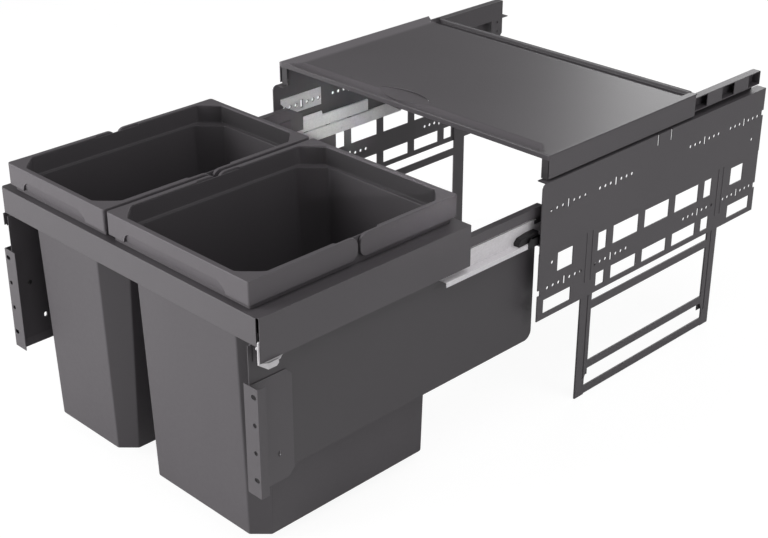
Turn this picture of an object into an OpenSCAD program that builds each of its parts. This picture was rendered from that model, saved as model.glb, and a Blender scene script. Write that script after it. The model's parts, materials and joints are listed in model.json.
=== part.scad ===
// Pull out waste bin unit for a base cabinet: two mounting plates on legs,
// telescopic runners, a hanging frame with two lift-out bins, a lid shelf.
// Millimetres. X across, Y into the cabinet, Z up. Shown pulled out.

/* [Cabinet] */
// clear width between the cabinet sides
clear_w = 564; // [500:1:700]
// depth of the mounting plates
plate_d = 556; // [546:1:580]
// height of the mounting plates
plate_h = 214.4; // [210:0.2:217]
// plates' bottom edge above the cabinet floor
stand_h = 175; // [160:1:200]
// how far the frame pulls out
travel = 505; // [400:1:510]

/* [Mounting plates] */
// sheet thickness of the plates
plate_t = 1.5; // [1:0.1:2]
// how far the lower band is set in
joggle = 0.6; // [0.3:0.1:1]
// height of the lower band
band_h = 108; // [102:1:112]
// height of the joint between the bands
joggle_h = 1.5; // [1:0.1:3]
// rounding of the front top corner
plate_r = 8; // [3:0.5:12]
// first window from the plate's front edge
row_y = 135.5; // [134:0.5:137]
// width of the three wide windows
window_w = 62; // [50:0.5:62]
// width of the narrow windows
slim_w = 20; // [12:0.5:22]
// post between two windows
post_w = 16; // [14:0.5:16]
// bottom of the upper windows
high_z = 67; // [64:0.5:70]
// height of the upper windows
high_h = 30; // [20:0.5:30]
// bottom of the lower windows
low_z = 9; // [6:0.5:12]
// height of the lower windows
low_h = 22; // [15:0.5:24]
// end window from the plate's edge
end_window_y = 42; // [36:0.5:46]
// width of the end windows
end_window_w = 35; // [28:0.5:38]
// lower end slot from the plate's edge
end_slot_y = 14; // [10:0.5:18]
// width of the lower end slots
end_slot_w = 62; // [50:0.5:66]
// diameter of the fixing holes
hole_d = 5.5; // [4:0.1:6]
// spacing of the fixing holes
hole_pitch = 12.6; // [12:0.1:13.5]
// upper hole row below the plates' top
row_high = 44.4; // [40:0.2:47]
// height of the lower hole row
row_low_z = 48; // [42:0.5:54]
// length of the tall hole in each group
tall_hole = 13; // [9:0.5:15]
// width of the tall hole in each group
slim_hole = 4; // [3:0.1:5]
// holes before and after the tall hole in a group
side_holes = 3; // [1:1:3]
// starts of the hole groups from the front edge
group_1_y = 22; // [16:0.5:24]
// start of the second hole group
group_2_y = 131; // [128:0.5:134]
// start of the third hole group from the rear edge
group_3_back = 201; // [198:0.5:206]
// start of the fourth hole group from the rear edge
group_4_back = 92; // [90:0.5:95]
// low single hole from the front edge
pilot_front_y = 30; // [26:0.5:34]
// height of the front single hole
pilot_front_z = 86; // [82:0.5:90]
// rear single hole from the rear edge
pilot_back = 26; // [22:0.5:30]
// rear single hole below the plates' top
pilot_drop = 81.4; // [74:0.2:86]
// depth of the notches in the edges
nick_d = 5; // [3:0.5:7]
// height of the notches
nick_h = 9; // [5:0.5:12]
// height of the low notches above the bottom edge
nick_low_z = 41; // [36:0.5:46]
// bottom of the high notch below the plates' top
nick_high = 46.4; // [38:0.2:54]
// width of the slits beside the bent tab
slit_w = 3; // [2:0.5:4]
// length of the slits
slit_h = 18; // [10:0.5:24]
// width of the tab between the slits
tab_w = 30; // [20:0.5:40]
// first slit from the front edge
slit_y = 266; // [250:1:290]
// width of the raised beads over the legs
bead_w = 3; // [2:0.5:4]
// start of the beads above the bottom edge
bead_z = 25; // [15:0.5:40]
// first front bead from the leg's front edge
bead_in = 3; // [2:0.5:4]
// spacing of the two beads over a leg
bead_gap = 13.5; // [10:0.5:14]
// first rear bead from the rear post's front edge
bead_back = 12; // [10:0.5:13]

/* [Legs] */
// front edge of the leg frame from the plates' front
leg_y = 105; // [103:0.5:107]
// depth of the leg frame
leg_span = 353; // [350:0.5:356]
// width of the leg posts
leg_w = 27; // [24:0.5:27]
// width of the feet
foot_w = 21; // [16:0.5:22]
// thickness of the leg frame
leg_t = 3; // [2:0.1:3.5]
// top of the leg posts above the plates' bottom edge
leg_top = 70; // [66:0.5:74]
// height of a crossbar
cross_h = 13.5; // [10:0.5:15]
// first crossbar below the plates' bottom edge
cross_1 = 28; // [24:0.5:32]
// second crossbar below the plates' bottom edge
cross_2 = 131; // [120:0.5:132]
// third crossbar above the floor
cross_3 = 1.5; // [1:0.5:4]
// length of the tapered foot shoulder
shoulder = 14; // [8:0.5:14]
// width of the groove in the posts
groove_w = 3; // [2:0.5:5]
// depth of the groove in the posts
groove_d = 1; // [0.5:0.1:1.4]
// wall of the guide straps
strap_t = 1.2; // [1:0.1:1.5]
// height of the guide straps
strap_h = 24; // [16:0.5:26]
// bottom of the guide straps
strap_z = 37; // [35:0.5:39]
// sliding clearance of the legs
leg_gap = 0.2; // [0.1:0.05:0.3]
// width of a crossbar clip
clip_w = 12; // [8:0.5:14]
// thickness of a crossbar clip
clip_t = 1.6; // [1:0.1:2]
// height of a crossbar clip
clip_h = 10; // [6:0.5:12]

/* [Runners] */
// sheet thickness of the runners
run_t = 1.5; // [1.2:0.1:1.6]
// length of the cabinet member at its foot
fix_len = 288; // [260:1:320]
// slant of the cabinet member's rear end
fix_slant = 38; // [20:1:44]
// setback of the cabinet member from the plates' front
fix_y = 5; // [4:0.5:10]
// bottom of the cabinet member
fix_z = 96; // [94:0.5:98]
// height of the cabinet member's flange
fix_h = 22.5; // [20:0.5:24]
// length of the cabinet member's hook
hook_len = 210; // [180:1:230]
// width of the hook
hook_w = 11; // [10:0.5:12]
// height of the hook's lip
hook_lip = 6.5; // [4:0.5:7]
// length of the middle member
mid_len = 380; // [360:1:400]
// middle member's front end, closed
mid_y = 67.5; // [60:0.5:75]
// bottom of the middle member's flange
mid_z = 127; // [126:0.5:128]
// height of the middle member
mid_h = 19.5; // [18:0.5:21]
// width of the middle member's flange
mid_w = 13.5; // [12:0.5:13.5]
// depth of the middle member's lip
mid_lip = 6; // [4:0.5:7]
// height of the roller carrier on the middle member
ear_h = 27.5; // [24:0.5:28]
// length of the roller carrier
ear_len = 185; // [170:1:188]
// setback of the roller carrier
ear_y = 7; // [4:0.5:12]
// gap between the middle member and the profile
mid_gap = 1.4; // [1:0.1:1.5]
// gap above the upper rollers
wheel_gap = 0.6; // [0.3:0.1:0.9]
// wheel diameter of the upper rollers
wheel_d = 24; // [18:0.5:24.6]
// thickness of the upper rollers
wheel_t = 4.4; // [3:0.1:5]
// diameter of the lower rollers
roll_d = 7.8; // [6:0.1:8]
// thickness of the lower rollers
roll_t = 3.2; // [2.5:0.1:3.3]
// rollers on each runner
roll_n = 3; // [2:1:4]
// spacing of the lower rollers
roll_pitch = 50; // [40:1:60]
// spacing of the upper rollers
wheel_pitch = 62; // [50:1:64]
// first lower roller from the plates' front
roll_y = 60; // [50:1:70]
// first upper roller from the front of its carrier
wheel_y = 16; // [14:0.5:18]
// gap beside the stop block
stop_gap = 0.3; // [0.2:0.1:1]
// length of the stop block
stop_len = 43; // [30:0.5:50]
// height of the stop block
stop_h = 12.5; // [8:0.5:14]
// stop block's front end from the middle member's front
stop_y = 147; // [140:1:155]

/* [Frame] */
// sheet thickness of the frame
frame_t = 1.2; // [1:0.1:1.4]
// gap from the cabinet side to the frame's side face
side_gap = 7; // [6:0.5:8]
// top of the frame
frame_z = 198; // [196:0.5:200]
// height of the frame's side face
side_h = 61; // [56:0.5:62]
// length of the side face
side_len = 369; // [366:0.5:375]
// front end of the side face, closed
side_y = -2.5; // [-5:0.5:0]
// front face of the frame, closed
front_y = -5.3; // [-8:0.1:-4.5]
// height of the front crossbar
front_h = 38.5; // [30:0.5:45]
// gap beside the front crossbar
front_slit = 4; // [2.5:0.5:5]
// depth of the front crossbar's lower lip
front_lip = 9; // [6:0.5:12]
// gap beside the front crossbar's lower lip
bar_gap = 0.5; // [0.3:0.1:2]
// height of the rear crossbar
back_h = 38; // [20:0.5:40]
// thickness of the hanging drawer sides
skirt_t = 1.2; // [1:0.1:1.4]
// drawer side's outer face from the cabinet side
skirt_x = 22.6; // [21.8:0.1:22.8]
// bottom of the drawer sides below the plates' bottom edge
skirt_drop = 40; // [20:1:60]
// length of the drawer sides
skirt_len = 530; // [520:1:535]
// front end of the drawer sides, closed
skirt_y = -9; // [-9.5:0.1:-8.5]
// rounding of the drawer sides' rear corner
skirt_r = 14; // [6:0.5:20]
// height of the drawer sides behind the side face
skirt_tail_z = 158; // [150:1:165]
// length of the profile on the runners
rail_len = 551; // [540:1:555]
// front end of the profile, closed
rail_y = -2; // [-4:0.5:0]
// bottom of the profile
rail_z = 134; // [132:0.5:135]
// height of the profile
rail_h = 42.4; // [42:0.1:44]
// length of the slant at the profile's rear end
rail_slant = 28; // [20:0.5:34]
// height of the slant at the profile's rear end
rail_drop = 15.4; // [10:0.1:18]
// height of the profile's outer lip
rail_lip = 15; // [12:0.5:18]
// width of the profile
rail_w = 10.8; // [10.4:0.1:11]
// length of the front catch
catch_len = 42; // [30:0.5:50]
// front end of the catch, closed
catch_y = -7; // [-8:0.5:-6]
// height of the catch
catch_h = 37; // [30:0.5:38]
// bottom of the catch
catch_z = 129.5; // [129.2:0.1:130]
// width of the catch's foot
catch_w = 6.7; // [5:0.1:7]
// bottom of the left catch
catch_left_z = 140; // [136:0.5:144]
// length of the left catch
catch_left_len = 15; // [12:0.5:24]
// height of the left catch
catch_left_h = 18; // [14:0.5:24]
// height of the catch's side tab
catch_tab = 7; // [5:0.5:9]
// length of the catch's side tab
catch_tab_len = 20; // [12:0.5:26]

/* [Door brackets] */
// sheet thickness of the door brackets
door_t = 1.2; // [1:0.1:2]
// height of the door brackets
door_h = 158; // [150:1:165]
// top of the door brackets
door_z = 104; // [98:0.5:110]
// inner edge of the front flange from the cabinet side
door_in = 32; // [31:0.5:33]
// width of the front flange
door_w = 25.5; // [24:0.5:26]
// depth of the outer lip
door_lip = 13; // [8:0.5:16]
// depth of the side flange
door_side = 68; // [50:0.5:75]
// cut corner of the side flange
door_cut = 10; // [5:0.5:16]
// spacing of the door screw holes
door_pitch = 40; // [32:1:42]
// diameter of the middle door screw holes
door_hole = 6.5; // [5:0.1:8]
// width of the slots at both ends
door_slot = 9.5; // [8:0.5:12]
// first screw hole above the bracket's bottom edge
door_first = 25; // [20:0.5:28]
// width of the hole in the side flange
peep_w = 5; // [4:0.1:6]
// height of the hole in the side flange
peep_h = 8; // [6:0.5:10]
// the hole from the front of the side flange
peep_y = 44; // [38:0.5:48]
// the hole above the bracket's bottom edge
peep_z = 41; // [30:0.5:50]
// head diameter of the bracket screws
screw_head = 7; // [5:0.1:9]
// head height of the bracket screws
screw_h = 1.8; // [1.2:0.1:2.4]
// screws from the front of the side flange
screw_y = 24; // [18:0.5:32]
// screws below the bracket's top edge
screw_z = 57.5; // [40:0.5:70]

/* [Bins] */
// width of the left bin
left_w = 223.8; // [180:0.1:240]
// gap between the two bins
bin_gap = 6.9; // [5:0.1:10]
// gap from the cabinet side to a bin
bin_side = 26.1; // [25.5:0.1:27]
// length of both bins
bin_len = 359.7; // [355:0.1:361]
// front end of the bins, closed
bin_y = -0.6; // [-1:0.1:0]
// top of the bins
bin_z = 238.5; // [237.5:0.1:238.7]
// height of the bins
bin_h = 394.5; // [300:0.5:400]
// wall of the bins
bin_t = 2.2; // [1.8:0.1:3]
// set-in of the bin collar behind the handles
collar_in = 5.5; // [5.2:0.1:5.8]
// set-in of the bin body below its collar
body_in = 9; // [8.8:0.1:9.4]
// set-in of the bottom at the sides
foot_in = 23.3; // [15:0.1:30]
// set-in of the bottom at the ends
foot_in_y = 19; // [12:0.1:26]
// gap between the bin's body and the frame's ledge
ledge_gap = 0.6; // [0.4:0.1:1.2]
// inner corner radius of the bins' collar
collar_r = 28; // [20:0.5:34]
// corner cut of the bins' body under the collar
body_c = 30; // [22:0.5:34]
// corner cut of the bins' body at the bottom
foot_c = 18.5; // [12:0.5:24]
// rounding of the corner cuts
edge_r = 3; // [2:0.5:5]
// height of the step inside the bin below its top
step_z = 28; // [20:0.5:34]
// width of the step
step_w = 2; // [1:0.1:2.5]

/* [Handles] */
// height of the handles
grip_h = 32.3; // [30:0.1:32.8]
// thickness of the handle arms
arm_t = 4.5; // [4:0.1:4.8]
// thickness of the handle's front bar
bar_t = 4.9; // [4.5:0.1:4.95]
// thickness of the handle's top flange
brim_t = 2.4; // [2:0.1:2.6]
// width of the handle's top flange
brim_w = 7.6; // [7:0.1:9]
// inner corner of the top flange
brim_r = 26; // [20:0.5:34]
// outer corner of the handles
grip_r = 3; // [2:0.1:3.2]
// clearance between a handle and its bin
grip_gap = 0.3; // [0.2:0.1:0.5]
// gap between the ends of the two handles
end_gap = 4.5; // [3:0.1:8]
// top flange's end from the pivot
brim_back = 20; // [17:0.5:26]
// pivot from the end of the arm
pivot_in = 15.5; // [14:0.1:16]
// rounding of the arm ends
end_r = 12; // [10:0.5:12.5]
// diameter of the pivot pins
pin_d = 8; // [6:0.1:10]
// how far the pins stop short of the arm's outer face
pin_back = 0.5; // [0.3:0.1:1.5]
// clearance round the pivot pins
pin_gap = 0.05; // [0.02:0.01:0.1]
// height of the finger hollow
finger_h = 14.5; // [8:0.5:16]
// depth of the finger hollow at its lower edge
finger_d = 4.2; // [3:0.1:4.3]
// depth of the finger hollow at its upper edge
finger_top = 1; // [0.5:0.1:2]
// finger hollow from the left end of the handle
finger_in = 34.7; // [30:0.1:50]
// finger hollow from the right end of the handle
finger_out = 44.6; // [36:0.1:60]
// slant of the finger hollow's right end
finger_slant = 14; // [8:0.5:20]

/* [Shelf] */
// sheet thickness of the shelf
shelf_t = 1.2; // [1:0.1:1.5]
// gap from the cabinet side to the shelf
shelf_gap = 2.2; // [2:0.1:2.5]
// top of the shelf above the plates' top
shelf_rise = 38.6; // [37.5:0.1:40]
// depth of the shelf's sides
shelf_side = 34.7; // [34:0.1:36]
// front edge of the shelf
shelf_y = 14.5; // [12:0.5:16]
// length of the shelf's sheet
shelf_len = 349.5; // [345:0.5:352]
// how far the shelf's sides stop short of the rear
side_short = 4.5; // [2:0.5:8]
// height of the front and rear lips
lip_h = 8; // [7.5:0.1:8.5]
// width of the lips' top
lip_w = 3; // [2.6:0.1:4]
// depth of the finger troughs
trough_d = 6.2; // [3:0.1:6.3]
// distance from the edge to the far side of a trough
trough_w = 27; // [20:0.5:32]
// flat floor of a trough
trough_floor = 6; // [4:0.5:10]
// flat margin beside the troughs
trough_end = 38; // [30:0.5:45]
// height of the rear lip above the sheet
rear_rise = 1.5; // [0.5:0.1:3]
// end of the rear lip from the cabinet side
rear_in = 13; // [12:0.5:17]
// gap between the rear lip and the shelf rails
rear_gap = 0.6; // [0.4:0.1:1]
// depth of the end caps
cap_d = 5; // [3:0.5:5]
// outer edge of the end caps from the cabinet side
cap_out = 5.6; // [5:0.1:7]
// gap under the end caps
cap_gap = 1; // [0.6:0.1:3]
// length of the grip pad
pad_len = 110; // [60:1:120]
// width of the grip pad
pad_w = 38; // [14:0.5:44]
// thickness of the grip pad
pad_t = 4.4; // [3.6:0.1:6]
// depth of the dish in the grip pad
pad_dish = 2.2; // [1:0.1:3]
// clearance round the grip pad
pad_gap = 0.15; // [0.1:0.05:0.3]
// grip pad's middle left of the shelf's middle
pad_x = 30; // [0:1:60]
// grip pad's middle from the shelf's front edge
pad_y = 32; // [28:0.5:40]
// front end of the shelf rails
track_y = 20; // [20:0.5:24]
// length of the shelf rails
track_len = 520; // [510:0.5:530]
// shelf rail's inner face from the cabinet side
track_x = 18; // [17.8:0.1:18.4]
// top of the shelf rails above the plates' top
track_rise = 31.6; // [31:0.1:31.8]
// height of the shelf rails' channel
track_h = 22; // [21:0.1:23]
// clearance of the slide in its rail
slide_gap = 0.3; // [0.2:0.05:0.5]
// length of the closing walls on the channel behind the shelf
wall_len = 40; // [20:0.5:42]
// spacing of the closing walls
wall_pitch = 73; // [70:0.5:75]
// first closing wall behind the shelf's rear edge
wall_y = 30; // [28:0.5:34]
// closing walls on each channel
wall_n = 2; // [1:1:2]
// length of the tab at the rail's rear end
hanger_len = 30; // [20:0.5:34]
// bottom of the tab below the plates' top
hanger_h = 33.4; // [26:0.2:40]
// cut corner of the tab
hanger_cut = 5; // [2:0.5:8]
// upper hole in the tab below the plates' top
hanger_hole = 6; // [5:0.5:8]
// spacing of the two holes in the tab
hanger_pitch = 16.5; // [12:0.5:18]

/* [Plate brackets] */
// length of the brackets
hook_plate_len = 88; // [80:0.5:90]
// height of the brackets
hook_plate_h = 30; // [26:0.5:34]
// bottom of the brackets below the plates' top
hook_plate_drop = 56.4; // [50:0.2:60]
// bracket's front end from the plates' front
hook_plate_y = 14.5; // [12:0.5:15]
// cut front corner of the brackets
hook_plate_cut = 22; // [8:0.5:24]
// widening of the bracket's holes over the plate's
hook_plate_ease = 2; // [1:0.1:3]
// head diameter of the rivets
rivet_d = 5; // [4:0.1:5.5]
// head height of the rivets
rivet_h = 1; // [0.6:0.1:1.4]

/* [Hidden] */
overrun = plate_t;
eps = plate_t / 100;
fine = 48;
loft_fn = 32;
half = clear_w / 2;
out = -travel;
mid_out_y = mid_y - travel / 2;
plate_in = half - plate_t;
band_in = plate_in - joggle;
row_high_z = plate_h - row_high;
nick_high_z = plate_h - nick_high;
hook_plate_z = plate_h - hook_plate_drop;
groups = [group_1_y, group_2_y, plate_d - group_3_back, plate_d - group_4_back];
leg_out = band_in - leg_gap;
leg_in = leg_out - leg_t;
foot_z = -stand_h;
fix_out = band_in;
fix_in = fix_out - run_t;
hook_z = fix_z + fix_h - run_t;
skirt_out = half - skirt_x;
side_out = half - side_gap;
rail_in = skirt_out;
web_in = rail_in + frame_t + mid_gap;
flange_out = web_in + mid_w;
roll_z = hook_z + run_t + (mid_z - hook_z - run_t) / 2;
hook_in = fix_in - hook_w + run_t;
wheel_z = rail_z + rail_h - frame_t - wheel_d / 2 - wheel_gap;
shelf_z = plate_h + shelf_rise;
track_z = plate_h + track_rise;
shelf_out = half - shelf_gap;
shelf_skin = shelf_out - shelf_t;
shelf_back = shelf_y + shelf_len;
track_in = half - track_x;
bin_out = half - bin_side;
left_in = -bin_out + left_w;
right_in = left_in + bin_gap;
bin_low = bin_z - bin_h;
bin_mid_y = bin_y + bin_len / 2;
rim_z = bin_z - brim_t - grip_gap;
ledge_in = bin_out - body_in + ledge_gap;
pin_z = bin_z - grip_h / 2;
pivot_front_y = bin_mid_y - end_gap / 2 - pivot_in;
pivot_back_y = bin_mid_y + end_gap / 2 + pivot_in;
door_y = skirt_y - door_t;
front_most = out + door_y;
back_most = plate_d;
track_back = track_y + track_len;
centre_y = (front_most + back_most) / 2;
door_x = half - door_in;
bar_back = front_y + frame_t;

// puts the part on the cabinet floor, its length centred
module placed() translate([0, -centre_y, stand_h]) children();

// the right-hand piece or its mirror image
module side(s) mirror([s < 0 ? 1 : 0, 0, 0]) children();

module block(x0, x1, y0, y1, z0, z1)
  translate([x0, y0, z0]) cube([x1 - x0, y1 - y0, z1 - z0]);

// a flat outline in Y and Z, made thick along X
module flat_x(x0, t) translate([x0, 0, 0]) rotate([90, 0, 90]) linear_extrude(t) children();

module rect_yz(y0, y1, z0, z1) translate([y0, z0]) square([y1 - y0, z1 - z0]);

// a flat outline in X and Z, made thick along Y
module flat_y(y0, t) translate([0, y0 + t, 0]) rotate([90, 0, 0]) linear_extrude(t) children();

// a rounded rectangle in X and Y
module rounded_rect(x0, x1, y0, y1, r) {
  translate([x0 + r, y0]) square([x1 - x0 - 2 * r, y1 - y0]);
  translate([x0, y0 + r]) square([x1 - x0, y1 - y0 - 2 * r]);
  for (x = [x0 + r, x1 - r], y = [y0 + r, y1 - r]) translate([x, y]) circle(r = r, $fn = fine);
}

module rounded(x0, x1, y0, y1, z, h, r)
  translate([0, 0, z]) linear_extrude(h) rounded_rect(x0, x1, y0, y1, r);

// eight upright posts, the cut corners of a tapered shape
module posts(x0, x1, y0, y1, z, h, c)
  for (p = [[edge_r + c, edge_r], [edge_r, edge_r + c]])
    for (x = [x0 + p[0], x1 - p[0]], y = [y0 + p[1], y1 - p[1]])
      translate([x, y, z]) cylinder(h = h, r = edge_r, $fn = loft_fn);

// mounting plates
module window_row(z, h) {
  starts = [for (i = 0, y = row_y, w = slim_w; i < 5;
    y = y + w + post_w, i = i + 1, w = (i == 0 || i == 4) ? slim_w : window_w) [y, w]];
  for (s = starts) rect_yz(s[0], s[0] + s[1], z, z + h);
}

// round holes with a tall slot in the middle of the group
module hole_group(y, z, ease = 0) {
  for (i = [0 : 2 * side_holes])
    translate([y + i * hole_pitch, z])
      if (i == side_holes) square([slim_hole + ease, tall_hole + ease], center = true);
      else circle(d = hole_d + ease, $fn = fine);
}

module plate_outline() {
  difference() {
    union() {
      rect_yz(0, plate_d, 0, plate_h - plate_r);
      rect_yz(plate_r, plate_d, plate_h - plate_r - eps, plate_h);
      translate([plate_r, plate_h - plate_r]) circle(r = plate_r, $fn = fine);
    }
    window_row(high_z, high_h);
    window_row(low_z, low_h);
    for (m = [0, 1]) translate([m * plate_d, 0]) mirror([m, 0]) {
      rect_yz(end_window_y, end_window_y + end_window_w, high_z, high_z + high_h);
      rect_yz(end_slot_y, end_slot_y + end_slot_w, low_z, low_z + low_h);
      rect_yz(-nick_d, nick_d, nick_low_z, nick_low_z + nick_h);
    }
    rect_yz(plate_d - nick_d, plate_d + nick_d, nick_high_z, nick_high_z + nick_h);
    for (y = groups, z = [row_high_z, row_low_z]) hole_group(y, z);
    translate([pilot_front_y, pilot_front_z]) circle(d = hole_d, $fn = fine);
    translate([plate_d - pilot_back, plate_h - pilot_drop]) circle(d = hole_d, $fn = fine);
    for (y = [slit_y, slit_y + slit_w + tab_w])
      rect_yz(y, y + slit_w, plate_h - slit_h, plate_h + slit_h);
  }
}

module mounting_plate() {
  // upper band
  flat_x(plate_in, plate_t) intersection() {
    plate_outline();
    rect_yz(0, plate_d, band_h, plate_h);
  }
  // lower band, set in, and the step between them
  flat_x(band_in, plate_t) intersection() {
    plate_outline();
    rect_yz(0, plate_d, 0, band_h);
  }
  block(band_in, half, 0, plate_d, band_h - joggle_h, band_h);
  // beads over the leg guides
  for (y = [leg_y + bead_in, leg_y + leg_span - leg_w + bead_back], g = [0, bead_gap])
    block(band_in + plate_t, half, y + g, y + g + bead_w, bead_z, band_h - joggle_h);
  // top flange up to the shelf rail, cut at the tab
  difference() {
    block(track_in + shelf_t, plate_in, plate_r, plate_d, plate_h - plate_t, plate_h);
    for (y = [slit_y, slit_y + slit_w + tab_w])
      block(track_in, half, y, y + slit_w, plate_h - slit_h, plate_h + slit_h);
  }
}

module plate_bracket() {
  flat_x(plate_in - run_t, run_t) difference() {
    translate([hook_plate_y, hook_plate_z]) polygon([[hook_plate_cut, 0], [hook_plate_len, 0],
      [hook_plate_len, hook_plate_h], [0, hook_plate_h], [0, hook_plate_cut]]);
    hole_group(group_1_y, row_high_z, hook_plate_ease);
  }
}

// rivets of the plate bracket and of the runner's flange
module plate_rivets() {
  for (s = [-1, 1]) side(s) {
    for (y = [hook_plate_y + rivet_d, hook_plate_y + hook_plate_len - rivet_d])
      translate([plate_in - run_t - rivet_h, y, hook_plate_z + hook_plate_h - rivet_d])
        rotate([0, 90, 0]) cylinder(h = rivet_h, d = rivet_d, $fn = fine);
    for (y = [fix_y + rivet_d, fix_y + fix_len / 2, fix_y + fix_len - 2 * fix_slant])
      translate([fix_in - rivet_h, y, fix_z + fix_h / 3])
        rotate([0, 90, 0]) cylinder(h = rivet_h, d = rivet_d, $fn = fine);
  }
}

// legs
module leg_guide() {
  for (y = [leg_y, leg_y + leg_span - leg_w]) {
    y0 = y - leg_gap;
    y1 = y + leg_w + leg_gap;
    block(leg_in - leg_gap - strap_t, leg_in - leg_gap, y0 - strap_t, y1 + strap_t,
      strap_z, strap_z + strap_h);
    for (w = [y0 - strap_t, y1])
      block(leg_in - leg_gap, band_in, w, w + strap_t, strap_z, strap_z + strap_h);
  }
}

// one post with its foot; the post is wide down to the second crossbar
module leg_post() {
  rect_yz(0, leg_w, -cross_2, leg_top);
  polygon([[0, -cross_2 - shoulder], [foot_w, -cross_2 - shoulder], [leg_w, -cross_2 + eps],
    [0, -cross_2 + eps]]);
  rect_yz(0, foot_w, foot_z, -cross_2 - shoulder + eps);
}

module leg_frame() {
  difference() {
    flat_x(leg_in, leg_t) {
      translate([leg_y, 0]) leg_post();
      translate([leg_y + leg_span, 0]) mirror([1, 0]) leg_post();
      rect_yz(leg_y, leg_y + leg_span, -cross_1, -cross_1 + cross_h);
      rect_yz(leg_y, leg_y + leg_span, -cross_2, -cross_2 + cross_h);
      rect_yz(leg_y, leg_y + leg_span, foot_z + cross_3, foot_z + cross_3 + cross_h);
    }
    for (y = [leg_y + foot_w - 2 * groove_w, leg_y + leg_span - foot_w + groove_w])
      block(leg_out - groove_d, leg_out + groove_d, y, y + groove_w, -cross_2 - shoulder,
        leg_top + groove_w);
  }
}

module leg_clips() {
  for (m = [0, 1]) translate([0, m * (2 * leg_y + leg_span), 0]) mirror([0, m, 0])
    for (z = [foot_z + cross_3 + cross_h / 2 - clip_h / 2,
              -cross_2 - shoulder + groove_d])
      block(leg_in - clip_t, leg_in, leg_y + foot_w - clip_t, leg_y + foot_w + clip_w - clip_t,
        z, z + clip_h);
}

// runners
module runner_fixed() {
  // flange on the plate, its rear end slanted
  flat_x(fix_in, run_t) translate([fix_y, fix_z])
    polygon([[0, 0], [fix_len, 0], [fix_len - fix_slant, fix_h], [0, fix_h]]);
  // hook that carries the rollers
  block(hook_in, fix_in, fix_y, fix_y + hook_len, hook_z, hook_z + run_t);
  block(hook_in, hook_in + run_t, fix_y, fix_y + hook_len, hook_z, hook_z + run_t + hook_lip);
}

module runner_rollers() {
  for (i = [0 : roll_n - 1])
    translate([hook_in + run_t, roll_y + i * roll_pitch, roll_z])
      rotate([0, 90, 0]) cylinder(h = roll_t, d = roll_d, $fn = fine);
}

module runner_middle() {
  y0 = mid_out_y;
  block(web_in, web_in + run_t, y0, y0 + mid_len, mid_z, mid_z + mid_h);
  block(web_in, web_in + run_t, y0 + ear_y, y0 + ear_y + ear_len, mid_z, mid_z + mid_h + ear_h);
  block(web_in, flange_out, y0, y0 + mid_len, mid_z, mid_z + run_t);
  block(flange_out - run_t, flange_out, y0, y0 + mid_len, mid_z - mid_lip, mid_z + run_t);
}

module middle_wheels() {
  for (i = [0 : roll_n - 1])
    translate([web_in + run_t, mid_out_y + ear_y + wheel_y + i * wheel_pitch, wheel_z])
      rotate([0, 90, 0]) cylinder(h = wheel_t, d = wheel_d, $fn = fine);
}

module stop_block() {
  y = mid_out_y + stop_y;
  z = mid_z + run_t;
  block(web_in + run_t, side_out - frame_t - stop_gap, y, y + stop_len, z, z + stop_h);
}

// frame that pulls out, built closed and moved out
module pulled() translate([0, out, 0]) children();

// side view of the profile, its rear end slanted
module rail_outline() translate([rail_y, rail_z])
  polygon([[0, 0], [rail_len, 0], [rail_len, rail_h - rail_drop], [rail_len - rail_slant, rail_h],
    [0, rail_h]]);

module drawer_rail() pulled() {
  y1 = rail_y + rail_len;
  z1 = rail_z + rail_h;
  flat_x(rail_in, frame_t) rail_outline();
  block(rail_in, rail_in + rail_w, rail_y, y1 - rail_slant, z1 - frame_t, z1);
  flat_x(rail_in + rail_w - frame_t, frame_t) intersection() {
    rail_outline();
    rect_yz(rail_y, y1, z1 - rail_lip, z1);
  }
}

// the oval hole through the door bracket and the drawer side
module peep_hole() translate([door_y + peep_y, door_z - door_h + peep_z]) {
  for (i = [-1, 1]) translate([0, i * (peep_h - peep_w) / 2]) circle(d = peep_w, $fn = fine);
  square([peep_w, peep_h - peep_w], center = true);
}

module drawer_side() pulled() flat_x(skirt_out - skirt_t, skirt_t) difference() {
  y1 = skirt_y + skirt_len;
  union() {
    rect_yz(bar_back, side_y + side_len, -skirt_drop + skirt_r, frame_z - frame_t);
    rect_yz(skirt_y, y1, -skirt_drop + skirt_r, skirt_tail_z);
    rect_yz(skirt_y, y1 - skirt_r, -skirt_drop, -skirt_drop + skirt_r + eps);
    translate([y1 - skirt_r, -skirt_drop + skirt_r]) circle(r = skirt_r, $fn = fine);
  }
  peep_hole();
}

module frame_side() pulled() {
  block(side_out - frame_t, side_out, side_y, side_y + side_len, frame_z - side_h, frame_z);
  block(ledge_in, side_out, side_y, side_y + side_len, frame_z - frame_t, frame_z);
}

module frame_front() pulled() {
  x1 = side_out - front_slit;
  y1 = bin_y + body_in - ledge_gap;
  block(-x1, x1, front_y, front_y + frame_t, frame_z - front_h, frame_z);
  block(-x1, x1, front_y, side_y, frame_z - frame_t, frame_z);
  block(-ledge_in, ledge_in, side_y - eps, y1, frame_z - frame_t, frame_z);
  // lower lip between the two drawer sides
  x2 = skirt_out - skirt_t - bar_gap;
  block(-x2, x2, front_y, front_y + front_lip, frame_z - front_h, frame_z - front_h + frame_t);
}

module frame_back() pulled() {
  x1 = skirt_out - skirt_t;
  y1 = side_y + side_len;
  y0 = bin_y + bin_len - body_in + ledge_gap;
  block(-x1, x1, y1 - frame_t, y1, frame_z - back_h, frame_z - frame_t);
  block(-ledge_in, ledge_in, y0, y1, frame_z - frame_t, frame_z);
}

// the left catch is a plain strip, the right one has a foot with a tab
module catch_strip() pulled() {
  x1 = side_out - frame_t;
  block(x1 - run_t, x1, catch_y, catch_y + catch_left_len, catch_left_z,
    catch_left_z + catch_left_h);
}

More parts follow.
